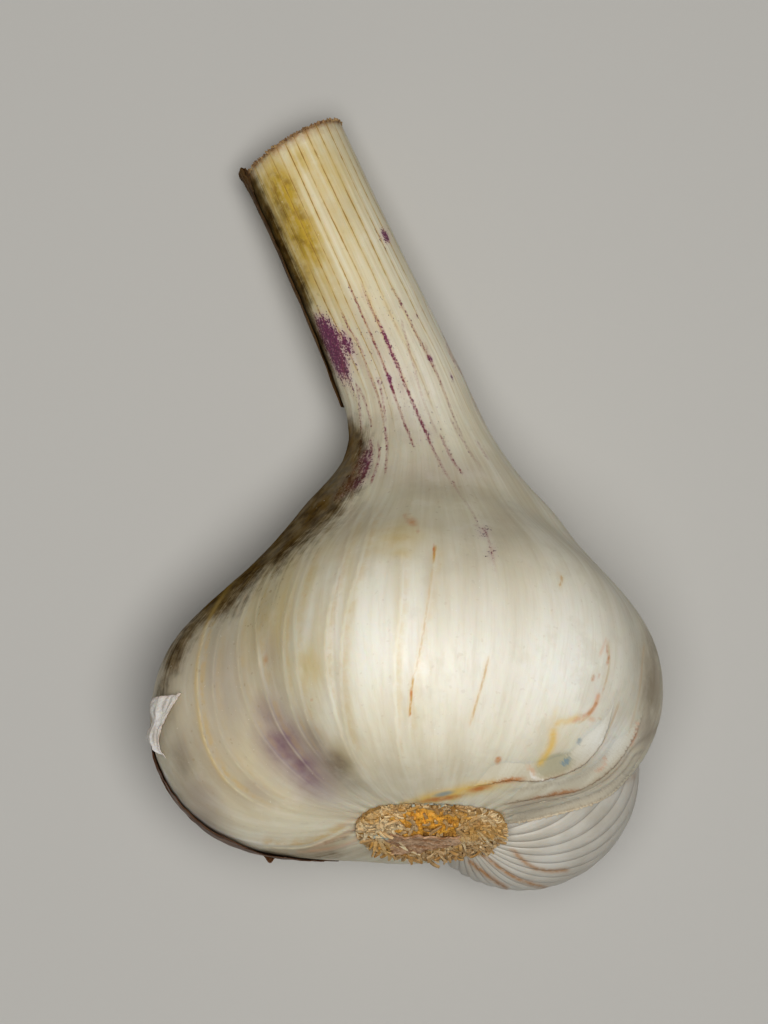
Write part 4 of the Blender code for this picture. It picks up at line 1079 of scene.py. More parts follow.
x_saw = x_phase - np.floor(x_phase)
pleat = np.minimum(x_saw / 0.62, (1 - x_saw) / 0.38)
pleat = np.sin(np.clip(pleat, 0, 1) * pi / 2) ** 0.8
x_fade = step(1.5, 16.0, xs / 0.4)
x_relief = (pleat - 1.0) * 0.22 * x_fade + 0.10 * fbm(x_base / 8.0 + 3, 3)
x_points = x_base + x_out * x_relief[..., None]
x_points[..., 2] = np.maximum(x_points[..., 2], 0.0)
x_view = seen(x_points)
x_cs = np.stack([np.cos(2 * pi * x_phase), np.sin(2 * pi * x_phase), pleat], -1)
x_cyl = np.stack([np.cos(np.radians(xt)), np.sin(np.radians(xt)), xs / 60.0], -1)
x_stain = np.zeros_like(xt)
for line, width, k in (
    ([(478, 852), (500, 868), (520, 880), (548, 889)], 2.2, 0.9), ([(470, 862), (488, 876), (506, 888)], 2.4, 1.0),
    ([(512, 850), (530, 866), (548, 871), (566, 870)], 2.2, 0.8), ([(552, 803), (600, 792), (634, 776)], 3.0, 0.35),
):
    d, s, side = line_distance(x_view, curve(line))
    x_stain = np.maximum(x_stain, k * np.exp(-(d / width) ** 2))
# painted shade: the clove darker toward its lower edges and under the torn layers
x_shade = np.maximum(blob(x_view, 470, 870, 26, 22, 20), 0.5 * blob(x_view, 520, 815, 40, 10, -8))
x_shade = np.maximum(x_shade, np.maximum(0.75 * blob(x_view, 636, 800, 16, 40, 10), 0.35 * blob(x_view, 530, 885, 60, 12, -8)))
rows, columns = x_points.shape[:2]
x_flat = np.vstack([x_points.reshape(-1, 3), x_points[0].mean(0), x_points[-1].mean(0)])
faces = [tuple(f) for f in grid_faces(rows, columns)]
for j in range(columns):
    k = (j + 1) % columns
    faces.append((rows * columns, k, j))
    faces.append((rows * columns + 1, (rows - 1) * columns + j, (rows - 1) * columns + k))
x_values = {"phase": x_cs.reshape(-1, 3), "cyl": x_cyl.reshape(-1, 3), "paint": np.stack([x_stain, x_shade, x_fade], -1).reshape(-1, 3)}
x_values = {key: np.vstack([v, v[0], v[-1]]) for key, v in x_values.items()}
clove = make("exposed_clove_skin", x_flat, faces, x_values)


def clove_material():
    n = Nodes("clove_skin")
    ph, paint = n.split(n.attribute("phase")), n.split(n.attribute("paint"))
    cylinder = n.attribute("cyl")
    coords = n.tree.nodes.new("ShaderNodeTexCoord").outputs["Object"]
    wave = n.math("DIVIDE", n.math("ABSOLUTE", n.math("ARCTAN2", ph[1], ph[0])), pi)
    fibres = n.noise(n.scaled(cylinder, (30.0, 30.0, 6.0)), 1.0, 4.0, 0.6)
    clouds = n.noise(coords, 160.0, 3.0, 0.5)
    grain = n.noise(coords, 1500.0, 3.0, 0.6)
    colour = n.mix(n.ramp(clouds, 0.35, 0.70), (0.59, 0.575, 0.53), (0.49, 0.465, 0.41))
    colour = n.mix(n.math("MULTIPLY", n.ramp(fibres, 0.45, 0.75), 0.25), colour, (0.58, 0.53, 0.46))
    groove = n.ramp(wave, 0.0, 0.10, 1.0, 0.0)
    colour = n.mix(n.math("MULTIPLY", n.math("MULTIPLY", groove, paint[2]), 0.55), colour, (0.25, 0.20, 0.155))
    # painted shade toward the clove's lower edges and under the torn layers
    colour = n.mix(n.math("MULTIPLY", paint[1], 0.45), colour, (0.40, 0.36, 0.30))
    colour = n.mix(n.math("MULTIPLY", paint[0], n.ramp(grain, 0.3, 0.6, 0.4, 1.0)), colour, (0.38, 0.20, 0.08))
    near_plate = n.math("MULTIPLY", n.math("SUBTRACT", 1.0, paint[2]), 0.5)
    colour = n.mix(near_plate, colour, (0.46, 0.35, 0.20))
    height = n.math("ADD", fibres, n.math("MULTIPLY", grain, 0.3))
    normal = n.bump(height, 0.30, 0.0001)
    return n.finish(colour, n.ramp(fibres, 0.3, 0.7, 0.34, 0.48), normal, subsurface=0.35, radius=(1.0, 0.7, 0.5), scale=0.0014, specular=0.5)


clove.data.materials.append(clove_material())
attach(clove, "root")
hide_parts("exposed_clove")


# ---------------------------------------------------------------- the root plate
def plate_place(r, a, h):
    """A point on the plate from radius, angle (0 at the upper edge, growing to the right) and height below its face."""
    return ROOT + (np.cos(a) * r)[..., None] * PLATE_OUT + (np.sin(a) * r)[..., None] * ACROSS - np.asarray(h)[..., None] * PLATE_AXIS


PLATE_RIM_LIMIT = 8.75
P_AROUND, P_ROWS = 220, 80
pa = np.arange(P_AROUND) / P_AROUND * 2 * pi
rim_wave = 1.0 + 0.03 * np.sin(3 * pa + 0.6) + 0.025 * np.sin(5 * pa + 2.0) + 0.035 * fbm(np.stack([np.cos(pa) * 7, np.sin(pa) * 7, 0 * pa], -1), 3)


def plate_dome(r):
    """How far the plate's face stands out, by its radius."""
    return 0.75 + 0.85 * (1 - (np.minimum(r, PLATE_RADIUS) / PLATE_RADIUS) ** 2.4)


def plate_height(x, y):
    """The height of the face at a spot; it dips towards the upper edge, where the skins come up to it."""
    return plate_dome(np.sqrt(x * x + y * y)) - 0.62 * step(4.5, 8.6, y)


plate_rows, tones = [], []
for i in range(P_ROWS):
    share = i / (P_ROWS - 1)
    if share < 0.14:                                  # the side wall, from the skin up to the face
        t = share / 0.14
        r = PLATE_RADIUS * rim_wave * (1.0 + 0.02 * sin(pi * t))
        h = -0.9 + t * (1.45 - 0.62 * step(4.5, 8.6, np.cos(pa) * r)) + 0.25 * t * noise(np.stack([np.cos(pa) * 14, np.sin(pa) * 14, 0 * pa + 3 * t], -1))
    else:
        t = (share - 0.14) / 0.86
        r = PLATE_RADIUS * rim_wave * (1 - t) + 0.02
        X, Y = np.sin(pa) * r, np.cos(pa) * r
        coarse = fbm(np.stack([X / 1.3, Y / 1.6, 0 * X + 4], -1), 4)
        holes = np.maximum(0.0, noise(np.stack([X / 0.36, Y / 0.50, 0 * X + 8], -1)) - 0.08)
        h = plate_height(X, Y) - 0.10 + 0.62 * coarse - 1.7 * holes * step(0.0, 0.2, t)
    plate_rows.append(plate_place(r, pa, h))
    X, Y = np.sin(pa) * r, np.cos(pa) * r
    bright = np.exp(-(((X + 0.6) / 4.2) ** 2 + ((Y - 4.0) / 3.0) ** 2))
    tones.append(np.stack([0.35 + 0.6 * bright + 0 * pa, 0 * pa + 0.3, (1.0 if share < 0.14 else 0.0) + 0 * pa], -1))
plate_rows = np.array(plate_rows)
faces = [tuple(f)[::-1] for f in grid_faces(P_ROWS, P_AROUND)]
pts = np.vstack([plate_rows.reshape(-1, 3), plate_rows[0].mean(0), plate_rows[-1].mean(0)])
for j in range(P_AROUND):
    k = (j + 1) % P_AROUND
    faces.append((P_ROWS * P_AROUND, j, k))
    faces.append((P_ROWS * P_AROUND + 1, (P_ROWS - 1) * P_AROUND + k, (P_ROWS - 1) * P_AROUND + j))
tone = np.vstack([np.array(tones).reshape(-1, 3), tones[0][0], tones[-1][0]])
plate_count = len(pts)

rng = np.random.default_rng(5)
bits_points, bits_faces, bits_tone = [], [], []


def plate_spot(x, y, h):
    """A point over the plate's face: x to the right, y to its upper edge, h out from it."""
    return ROOT + x * ACROSS + y * PLATE_OUT - h * PLATE_AXIS


def strip(line, width, thickness, lightness, hue, kind, taper=0.6):
    """A bent fibre with a four-sided section through the points of a line."""
    line = np.array(line)
    start, n = len(bits_points), len(line)
    for i in range(n):
        way = line[min(i + 1, n - 1)] - line[max(i - 1, 0)]
        way = way / (np.linalg.norm(way) + 1e-9)
        side = np.cross(way, -PLATE_AXIS)
        if np.linalg.norm(side) < 0.2:
            side = np.cross(way, PLATE_OUT)
        side /= np.linalg.norm(side)
        up_way = np.cross(side, way)
        w = width * (1 - (1 - taper) * abs(2 * i / (n - 1) - 0.8) ** 2) * (1 + 0.18 * rng.normal())
        for sx, sy in ((-1, -1), (1, -1), (1, 1), (-1, 1)):
            bits_points.append(line[i] + side * sx * w / 2 + up_way * sy * thickness / 2)
            bits_tone.append((lightness + 0.10 * rng.normal() + 0.12 * (i == n - 1), hue, kind))
    for i in range(n - 1):
        for m in range(4):
            k = (m + 1) % 4
            b = start + i * 4
            bits_faces.append((b + m, b + k, b + 4 + k, b + 4 + m))
    bits_faces.append((start + 3, start + 2, start + 1, start))
    e = start + (n - 1) * 4
    bits_faces.append((e, e + 1, e + 2, e + 3))


def fibre(x, y, heading, length, width, thickness, rise, lightness, hue, curl=0.0, kind=1.0, h0=0.0):
    """A fibre lying on the plate: heading in degrees (0 to the right, 90 to the upper edge), rise in degrees."""
    line = []
    end_x, end_y = x + length * cos(radians(heading + curl)), y + length * sin(radians(heading + curl))
    over = 1.0 - PLATE_RIM_LIMIT / max(sqrt(end_x ** 2 + end_y ** 2), PLATE_RIM_LIMIT)
    x, y = x - end_x * over, y - end_y * over
    for t in np.linspace(0, 1, 6):
        turned = radians(heading + curl * t)
        d = length * t
        h = plate_height(np.array(x), np.array(y)) + h0 + d * sin(radians(rise)) - 0.25 * (t - 0.5) ** 2
        line.append(plate_spot(x + d * cos(turned) * cos(radians(rise)), y + d * sin(turned) * cos(radians(rise)), h))
    strip(line, width, thickness, lightness, hue, kind)


# straps at the left, lying down to the right; steeper ones at the upper right
for i in range(95):
    x, y = rng.uniform(-8.6, -4.0), rng.uniform(-1.0, 7.6)
    if x * x + y * y > 70:
        continue
    fibre(x, y, rng.normal(-56, 12), rng.uniform(2.0, 4.2), rng.uniform(0.22, 0.48), rng.uniform(0.12, 0.26), rng.uniform(-4, 9), rng.uniform(0.5, 1.0), rng.uniform(0.3, 1.0), rng.normal(0, 16))
for i in range(110):
    x, y = rng.uniform(2.8, 7.8), rng.uniform(1.0, 8.2)
    if x * x + y * y > 70:
        continue
    fibre(x, y, rng.normal(-70, 14), rng.uniform(1.6, 3.6), rng.uniform(0.22, 0.48), rng.uniform(0.12, 0.26), rng.uniform(-4, 12), rng.uniform(0.1, 0.85), rng.uniform(0.3, 1.0), rng.normal(0, 16))
# crumbs and short chips over the right and the lower parts
for i in range(560):
    a, r = rng.uniform(0, 2 * pi), PLATE_RADIUS * 0.99 * sqrt(rng.random())
    x, y = r * sin(a), r * cos(a)
    on_scab = -4.9 < x < 3.2 and -3.9 + 0.40 * (x + 4.8) < y < 1.9
    on_bright = -4.4 < x < 3.2 and 1.4 < y < 6.8
    if on_scab or (on_bright and rng.random() < 0.74):
        continue
    length = rng.uniform(0.45, 1.7)
    fibre(x, y, rng.choice((rng.uniform(0, 360), rng.normal(-70, 30))), length, rng.uniform(0.20, 0.50), rng.uniform(0.15, 0.34), rng.uniform(-6, 34), rng.uniform(0.5, 1.0) if x < -3.5 and y > 0.0 else rng.uniform(0.0, 0.55), rng.uniform(0.0, 1.0), rng.normal(0, 30))
# the rim, ragged but short, over where the plate meets the skins
for i in range(300):
    a = rng.uniform(0, 2 * pi)
    r = PLATE_RADIUS * rng.uniform(0.86, 1.0)
    x, y = r * sin(a), r * cos(a)
    outwards = np.degrees(np.arctan2(y, x))
    fibre(x, y, outwards + rng.normal(0, 60), rng.uniform(0.4, 1.0) * (1.3 if y < -4 else 0.85), rng.uniform(0.22, 0.50), rng.uniform(0.12, 0.26), rng.uniform(-34, 6),
          rng.uniform(0.25, 1.0), rng.uniform(0.2, 1.0), rng.normal(0, 20), h0=-0.35 if y < 2 else 0.0)
# short fibres standing over the upper edge
for i in range(330):
    a = rng.uniform(-1.9, 1.9)
    r = PLATE_RADIUS * rng.uniform(0.93, 1.04)
    x, y = r * sin(a), r * cos(a)
    fibre(x, y, np.degrees(np.arctan2(y, x)) + rng.normal(0, 45), rng.uniform(0.4, 1.1), rng.uniform(0.20, 0.42), rng.uniform(0.12, 0.24), rng.uniform(-50, 0), rng.uniform(0.2, 1.0), rng.uniform(0.2, 1.0), rng.normal(0, 20), h0=-0.1)
# pale blue-grey crumbs of mould
for cx, cy, spread, count in ((-5.4, 0.8, 0.5, 9), (0.6, 8.3, 1.2, 12)):
    for i in range(count):
        x, y = cx + spread * rng.normal(), cy + 0.5 * spread * rng.normal()
        fibre(x, y, rng.uniform(0, 360), rng.uniform(0.25, 0.6), rng.uniform(0.2, 0.4), rng.uniform(0.15, 0.3), rng.uniform(0, 30), rng.uniform(0.4, 1.0), rng.uniform(0.0, 1.0), kind=3.0, h0=0.22)

# the scab: a crinkled flake over the lower middle, tapering to the right
SR, SC = 40, 54
base_index = len(bits_points)
sv, su = np.meshgrid(np.linspace(0, 1, SR), np.linspace(0, 1, SC), indexing="ij")
upper_edge = 2.0 - 0.3 * su + 0.75 * noise(np.stack([su * 6, 0 * su, 0 * su], -1))
lower_edge = -3.7 + 3.1 * su ** 1.2 + 0.95 * noise(np.stack([su * 8, 0 * su + 3, 0 * su], -1))
sx = -4.8 + 8.0 * su + 0.9 * noise(np.stack([sv * 4, su * 2, 0 * su], -1))
sy = upper_edge + (lower_edge - upper_edge) * sv
sr = np.sqrt(sx ** 2 + sy ** 2)
sh = plate_height(sx, sy) + 0.20 + 0.26 * fbm(np.stack([sx / 0.9, sy / 1.3, 0 * sx], -1), 4) + 0.35 * sv ** 4 * (1.2 - su) + 0.30 * (1 - sv) ** 6
top_side = ROOT + sx[..., None] * ACROSS + sy[..., None] * PLATE_OUT - sh[..., None] * PLATE_AXIS
low_side = top_side + 0.25 * PLATE_AXIS
for side_points in (top_side, low_side):
    for q in side_points.reshape(-1, 3):
        bits_points.append(q)
rim_dark = np.minimum(np.minimum(su, 1 - su), np.minimum(sv, 1 - sv))
for _ in range(2):
    for a_, b_ in zip(0.45 + 0.3 * step(0.0, 0.12, rim_dark).ravel(), su.ravel()):
        bits_tone.append((a_, b_, 2.0))
f = grid_faces(SR, SC, closed=False)
n_scab = SR * SC
for quad in f:
    bits_faces.append(tuple(base_index + int(k) for k in quad)[::-1])
    bits_faces.append(tuple(base_index + n_scab + int(k) for k in quad))
ring = [j for j in range(SC)] + [i * SC + SC - 1 for i in range(1, SR)]
ring += [(SR - 1) * SC + j for j in range(SC - 2, -1, -1)] + [i * SC for i in range(SR - 2, 0, -1)]
for a_, b_ in zip(ring, ring[1:] + ring[:1]):
    bits_faces.append((base_index + a_, base_index + b_, base_index + n_scab + b_, base_index + n_scab + a_))

pts = np.vstack([pts, np.array(bits_points)])
faces += [tuple(plate_count + i for i in f) for f in bits_faces]
tone = np.vstack([tone, np.array(bits_tone)])
plate = make("root_plate_cork", pts, faces, {"tone": tone}, smooth=False)
mesh_tools = bmesh.new()
mesh_tools.from_mesh(plate.data)
bmesh.ops.recalc_face_normals(mesh_tools, faces=mesh_tools.faces)
mesh_tools.to_mesh(plate.data)
mesh_tools.free()


def cork_material():
    n = Nodes("root_cork")
    t = n.split(n.attribute("tone"))
    coords = n.tree.nodes.new("ShaderNodeTexCoord").outputs["Object"]
    lumps = n.noise(coords, 620.0, 4.0, 0.6)
    grain = n.noise(coords, 2400.0, 4.0, 0.7)
    patch = n.noise(coords, 190.0, 2.0, 0.5)
    # the body of the plate: pitted ochre
    colour = n.mix(n.ramp(lumps, 0.36, 0.64), (0.27, 0.125, 0.025), (0.62, 0.37, 0.095))
    colour = n.mix(n.math("MULTIPLY", n.ramp(t[0], 0.4, 0.85), n.ramp(lumps, 0.36, 0.56, 0.25, 0.92)), colour, (0.80, 0.42, 0.052))
    # fibres: tan, cream and ochre
    fibre_tone = n.mix(t[1], (0.62, 0.37, 0.11), (0.84, 0.70, 0.44))
    fibre_tone = n.mix(n.ramp(t[0], 0.1, 1.0, 0.0, 1.0), n.mix(0.62, fibre_tone, (0.26, 0.125, 0.035)), n.mix(0.40, fibre_tone, (0.90, 0.80, 0.60)))
    fibre_tone = n.mix(n.math("MULTIPLY", n.ramp(patch, 0.50, 0.60), 0.45), fibre_tone, (0.60, 0.34, 0.065))
    is_fibre = n.ramp(t[2], 0.2, 0.8, smooth=False)
    colour = n.mix(is_fibre, colour, fibre_tone)
    # the scab: pinkish brown, frosted
    scab = n.mix(n.ramp(lumps, 0.38, 0.62), (0.32, 0.165, 0.075), (0.58, 0.40, 0.26))
    scab = n.mix(n.math("MULTIPLY", n.ramp(grain, 0.52, 0.66), 0.7), scab, (0.60, 0.46, 0.36))
    is_scab = n.ramp(t[2], 1.2, 1.8, smooth=False)
    colour = n.mix(is_scab, colour, scab)
    colour = n.mix(n.ramp(t[2], 2.2, 2.8, smooth=False), colour, n.mix(t[0], (0.36, 0.36, 0.27), (0.52, 0.56, 0.50)))
    colour = n.mix(n.math("MULTIPLY", n.ramp(grain, 0.54, 0.74), 0.35), colour, (0.84, 0.68, 0.42))
    colour = n.mix(n.math("MULTIPLY", n.ramp(grain, 0.30, 0.43, 1.0, 0.0), 0.70), colour, (0.10, 0.045, 0.014))
    normal = n.bump(n.math("ADD", lumps, n.math("MULTIPLY", grain, 0.7)), 0.9, 0.0003)
    return n.finish(colour, 0.72, normal, subsurface=0.05, radius=(1.0, 0.5, 0.25), scale=0.0005, specular=0.35)


plate.data.materials.append(cork_material())
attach(plate, "root")
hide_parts("root_plate")


# ---------------------------------------------------------------- thin skins
def leaf(name, turns, stations, lift, thickness, ragged=0.0, seed=0.0, node=None, material=None, cut_mask=None):
    """A dry skin: a patch of rows (stations) and columns (turns), both given as full arrays, lifted off the bulb."""
    origin, way = rays(turns, stations)
    under_skin = skin(origin, way)
    n = normals(under_skin, closed=False)
    p = under_skin + n * lift[..., None]
    rows, columns = p.shape[:2]
    low, high = p, p + n * thickness
    pts = np.vstack([low.reshape(-1, 3), high.reshape(-1, 3)])
    pts[:, 2] = np.maximum(pts[:, 2], 0.02)
    f = grid_faces(rows, columns, closed=False)
    faces = [tuple(x)[::-1] for x in f] + [tuple(x + rows * columns) for x in f]
    ring = [j for j in range(columns)] + [i * columns + columns - 1 for i in range(1, rows)]
    ring += [(rows - 1) * columns + j for j in range(columns - 2, -1, -1)] + [i * columns for i in range(rows - 2, 0, -1)]
    total = rows * columns
    for a, b in zip(ring, ring[1:] + ring[:1]):
        faces.append((a, b, b + total, a + total))
    uu = np.repeat(np.linspace(0, 1, columns)[None], rows, 0)
    vv = np.repeat(np.linspace(0, 1, rows)[:, None], columns, 1)
    rim_d = np.minimum(np.minimum(uu, 1 - uu), np.minimum(vv, 1 - vv))
    val = np.stack([uu, vv, rim_d], -1).reshape(-1, 3)
    cylv = np.stack([np.cos(np.radians(turns)), np.sin(np.radians(turns)), stations / 60.0], -1).reshape(-1, 3)
    obj = make(name, pts, faces, {"leaf": np.vstack([val, val]), "cyl": np.vstack([cylv, cylv])})
    obj.data.materials.append(material)
    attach(obj, "root")
    if node:
        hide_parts(node)
    return obj


def thin_material(name, light, dark, stain, stain_level, clear=0.0, rough=0.42, shine=0.5):
    n = Nodes(name)
    cylinder = n.attribute("cyl")
    l = n.split(n.attribute("leaf"))
    coords = n.tree.nodes.new("ShaderNodeTexCoord").outputs["Object"]
    fibres = n.noise(n.scaled(cylinder, (60.0, 60.0, 8.0)), 1.0, 4.0, 0.6)
    clouds = n.noise(coords, 300.0, 4.0, 0.6)
    grain = n.noise(coords, 1800.0, 3.0, 0.6)
    colour = n.mix(n.ramp(fibres, 0.35, 0.68), light, dark)
    colour = n.mix(n.math("MULTIPLY", n.ramp(clouds, 0.42, 0.66), stain_level), colour, stain)
    rim = n.ramp(l[2], 0.0, 0.06, 1.0, 0.0)
    colour = n.mix(n.math("MULTIPLY", rim, 0.55), colour, stain)
    normal = n.bump(n.math("ADD", fibres, n.math("MULTIPLY", grain, 0.4)), 0.5, 0.00015)
    m = n.finish(colour, rough, normal, subsurface=0.3, radius=(1.0, 0.6, 0.35), scale=0.0008, specular=shine)
    if clear:
        n.shader.inputs["Alpha"].default_value = 1.0 - clear
    return m


SHEATH = thin_material("old_sheath", (0.19, 0.105, 0.032), (0.08, 0.040, 0.011), (0.040, 0.019, 0.007), 0.8, rough=0.6, shine=0.12)
REMNANT = thin_material("outer_remnant", (0.24, 0.13, 0.07), (0.10, 0.048, 0.022), (0.045, 0.020, 0.010), 0.7, rough=0.4, shine=0.15)
FLAP = thin_material("torn_flap", (0.84, 0.80, 0.74), (0.74, 0.68, 0.62), (0.62, 0.46, 0.40), 0.25)

# the sheath down the left of the neck
R, C = 90, 60
v = np.linspace(0, 1, R)[:, None] + np.zeros((1, C))
u = np.linspace(0, 1, C)[None] + np.zeros((R, 1))
stations = LENGTH - 32.0 + 31.6 * v + 0.5 * noise(np.stack([u * 9, 0 * u, 0 * u + 2], -1)) * step(0.85, 1.0, v)
front = -85.0 + 6.0 * np.linspace(0, 1, R)[:, None] ** 0.6 + 9.0 * step(0.86, 1.0, np.linspace(0, 1, R)[:, None]) + 2.2 * noise(np.stack([v * 14, 0 * v, 0 * v], -1))[:, :1]
back = -134.0 - 4.0 * v[:, :1]
narrow = step(0.30, 0.0, v[:, :1])
front, back = front - 20.0 * narrow, back + 16.0 * narrow
turns = back + (front - back) * u
lift = 0.12 + 0.22 * u ** 4 + 0.14 * np.maximum(0.0, 6.0 * v - 5.0) ** 1.5 + 0.10 * noise(np.stack([u * 6, v * 10, 0 * u], -1))
leaf("neck_sheath_strip", turns, stations, lift, 0.14, node="neck_sheath", material=SHEATH)

# frayed ends round the cut
bits_points, bits_faces, bits_tone = [], [], []
ring_way = unit(AWAY)
for i in range(620):
    j = int(rng.integers(0, AROUND))
    start_at = rim[j] + (hub - rim[j]) * rng.uniform(-0.004, 0.05)
    around_way = unit(rim[(j + 3) % AROUND] - rim[j - 3])
    away_way = unit(start_at - hub)
    length = rng.uniform(0.15, 0.45)
    heading = unit(ring_way + 0.95 * rng.normal() * around_way + (0.25 + 0.35 * rng.normal()) * away_way)
    line = [start_at - ring_way * 0.18 + heading * length * t + away_way * 0.10 * t * t for t in np.linspace(0, 1, 4)]
    strip(line, rng.uniform(0.10, 0.28), rng.uniform(0.06, 0.14), rng.uniform(0.0, 1.0), rng.uniform(0.0, 1.0), 1.0)
frayed = make("neck_cut_fibres", np.array(bits_points), bits_faces, {"tone": np.array(bits_tone)}, smooth=False)
mesh_tools = bmesh.new()
mesh_tools.from_mesh(frayed.data)
bmesh.ops.recalc_face_normals(mesh_tools, faces=mesh_tools.faces)
mesh_tools.to_mesh(frayed.data)
mesh_tools.free()
n = Nodes("cut_fibres")
t = n.split(n.attribute("tone"))
fray_tone = n.mix(t[0], n.mix(t[1], (0.11, 0.06, 0.025), (0.26, 0.14, 0.07)), n.mix(t[1], (0.50, 0.37, 0.19), (0.40, 0.25, 0.12)))
frayed.data.materials.append(n.finish(fray_tone, 0.7, subsurface=0.0, specular=0.3))
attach(frayed, "root")

R, C = 26, 16
for i in range(5):
    v = np.linspace(0, 1, R)[:, None] + np.zeros((1, C))
    u = np.linspace(0, 1, C)[None] + np.zeros((R, 1))
    stations = LENGTH - 7.0 + 0.9 * i + (7.15 - 0.9 * i) * v + 0.3 * noise(np.stack([u * 5 + i, 0 * u, 0 * u], -1)) * v ** 4
    turns = -120.0 + 9.0 * i + (14.0 - i) * u + 3.0 * noise(np.stack([v * 5 + 9 * i, 0 * v, 0 * v], -1))
    lift = 0.10 + 0.06 * i + 0.10 * u + (0.42 - 0.05 * i) * v ** 3 + 0.12 * noise(np.stack([u * 4, v * 8, 0 * u + i], -1)) * v
    leaf("neck_lip_%d" % (i + 1), turns, stations, lift, 0.10, material=SHEATH)

# what is left of the outermost skin, behind the left edge
R, C = 120, 60
v = np.linspace(0, 1, R)[:, None] + np.zeros((1, C))
u = np.linspace(0, 1, C)[None] + np.zeros((R, 1))
stations = -38.0 + 64.0 * v
front = -97.5 - 2.0 * np.cos(9.0 * v[:, :1]) + 1.6 * fbm(np.stack([v * 30, 0 * v, 0 * v], -1), 3)[:, :1]
back = -142.0 + 18.0 * v[:, :1] + 3.0 * noise(np.stack([v * 12, 0 * v + 7, 0 * v], -1))[:, :1]
narrow = step(0.66, 1.0, v[:, :1]) + step(0.14, 0.0, v[:, :1])
front, back = front - 12.0 * narrow, back + 9.0 * narrow
turns = back + (front - back) * u
lift = 0.15 + 0.45 * u ** 3 * np.maximum(0.0, 1.0 - np.abs(v - 0.2) * 3.6) + 0.12 * noise(np.stack([u * 7, v * 22, 0 * u], -1))
leaf("outer_skin_left", turns, stations, lift, 0.10, node="outer_skin_remnant", material=REMNANT)

# the torn white flap, creased, narrowing downwards
R, C = 70, 44
v = np.linspace(0, 1, R)
left_edge = along_curve(curve([(161, 699), (157, 710), (159, 721), (152, 736), (157, 745), (163, 754)]), R)[0]
right_edge = along_curve(curve([(184, 694), (176, 706), (169, 719), (164, 732), (163, 744), (167, 758)]), R)[0]
right_edge[:, 0] += 0.8 * noise(np.stack([v * 22, 0 * v, 0 * v], -1))
u = np.linspace(0, 1, C)
q = left_edge[:, None] * (1 - u)[None, :, None] + right_edge[:, None] * u[None, :, None]
q[..., 1] += (1 - v)[:, None] * 1.5 * noise(np.stack([u * 7, 0 * u, 0 * u + 1], -1))[None]
under_flap = drape(q, body_distance)
n_flap = slope(under_flap, body_distance)
uu, vv = np.meshgrid(u, v)
crease = np.abs(uu - 0.30 - 0.25 * vv)
lift = 0.30 + 0.55 * (1 - vv) * np.exp(-((uu - 0.1) / 0.3) ** 2) + 0.45 * np.exp(-crease / 0.10) * (0.4 + vv) + 0.25 * np.abs(noise(np.stack([uu * 4, vv * 5, 0 * uu], -1)))
lift = lift * step(1.0, 0.86, vv) + 0.12
low = under_flap + n_flap * lift[..., None]
high = low + n_flap * 0.09
rim_d = np.minimum(np.minimum(uu, 1 - uu), np.minimum(vv, 1 - vv))
flap = shell("torn_white_flap", low, high, {"leaf": np.stack([uu, vv, rim_d], -1), "cyl": np.stack([uu * 0.3, vv * 0.5, 0 * uu], -1)})
flap.data.materials.append(FLAP)
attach(flap, "root")
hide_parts("torn_flake")

# the outermost skin shows past the left lobe as a thin crescent that curls round from below
outline = seen_points.reshape(-1, 2)
lobe_middle = np.array((262.0, 735.0))
R, C = 220, 14
bearing = np.radians(np.linspace(178.0, 60.0, R))           # clockwise in the view: from the left edge round below
rel = outline - lobe_middle
angles = np.arctan2(rel[:, 1], rel[:, 0])
distance_out = np.linalg.norm(rel, axis=1)
inside_zone = station.ravel() < 20.0
edge_points = []
flat_skin = points.reshape(-1, 3)
for b in bearing:
    near = inside_zone & (np.abs((angles - b + pi) % (2 * pi) - pi) < radians(1.3))
    pick = np.where(near)[0][np.argmax(distance_out[near])]
    edge_points.append(flat_skin[pick])
edge_points = np.array(edge_points)
for _ in range(14):
    edge_points[1:-1] = (edge_points[:-2] + 2 * edge_points[1:-1] + edge_points[2:]) / 4
v = np.linspace(0, 1, R)
out_way = np.stack([np.cos(bearing), -np.sin(bearing), 0 * bearing], -1)
width = 0.20 * step(0.0, 0.10, v) * step(1.0, 0.55, v) + 0.07 * step(0.0, 0.05, v) * step(1.0, 0.93, v)
width = width * (1 + 0.22 * noise(np.stack([v * 26, 0 * v, 0 * v], -1)))
width = width + 0.85 * np.exp(-((np.degrees(bearing) - 87.5) / 1.7) ** 2)     # a small tip that points out
c = np.linspace(0, 1, C)
bow = np.array([[-2.2, -5.5], [0.30, -2.6], [1.0, -0.4]])
curve_out = (1 - c) ** 2 * bow[0, 0] + 2 * c * (1 - c) * bow[1, 0] + c ** 2 * bow[2, 0]
curve_up = (1 - c) ** 2 * bow[0, 1] + 2 * c * (1 - c) * bow[1, 1] + c ** 2 * bow[2, 1]
out_amount = np.where(curve_out[None] > 0, curve_out[None] * width[:, None] + 0.10, curve_out[None] * 1.0)
low = edge_points[:, None] + out_way[:, None] * out_amount[..., None] + np.array((0, 0, 1.0)) * (curve_up[None] * 0.8)[..., None]
side_n = np.cross(np.gradient(low, axis=0), np.gradient(low, axis=1))
side_n /= np.linalg.norm(side_n, axis=-1)[..., None] + 1e-9
vv, cc = np.meshgrid(v, c, indexing="ij")
crescent = shell("outer_skin_crescent", low, low + side_n * 0.08, {"leaf": np.stack([cc, vv, np.minimum(1 - cc, 0.5)], -1), "cyl": np.stack([0.4 * cc, 2.0 * vv, 0.2 * cc], -1)})
crescent.data.materials.append(REMNANT)
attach(crescent, "root")

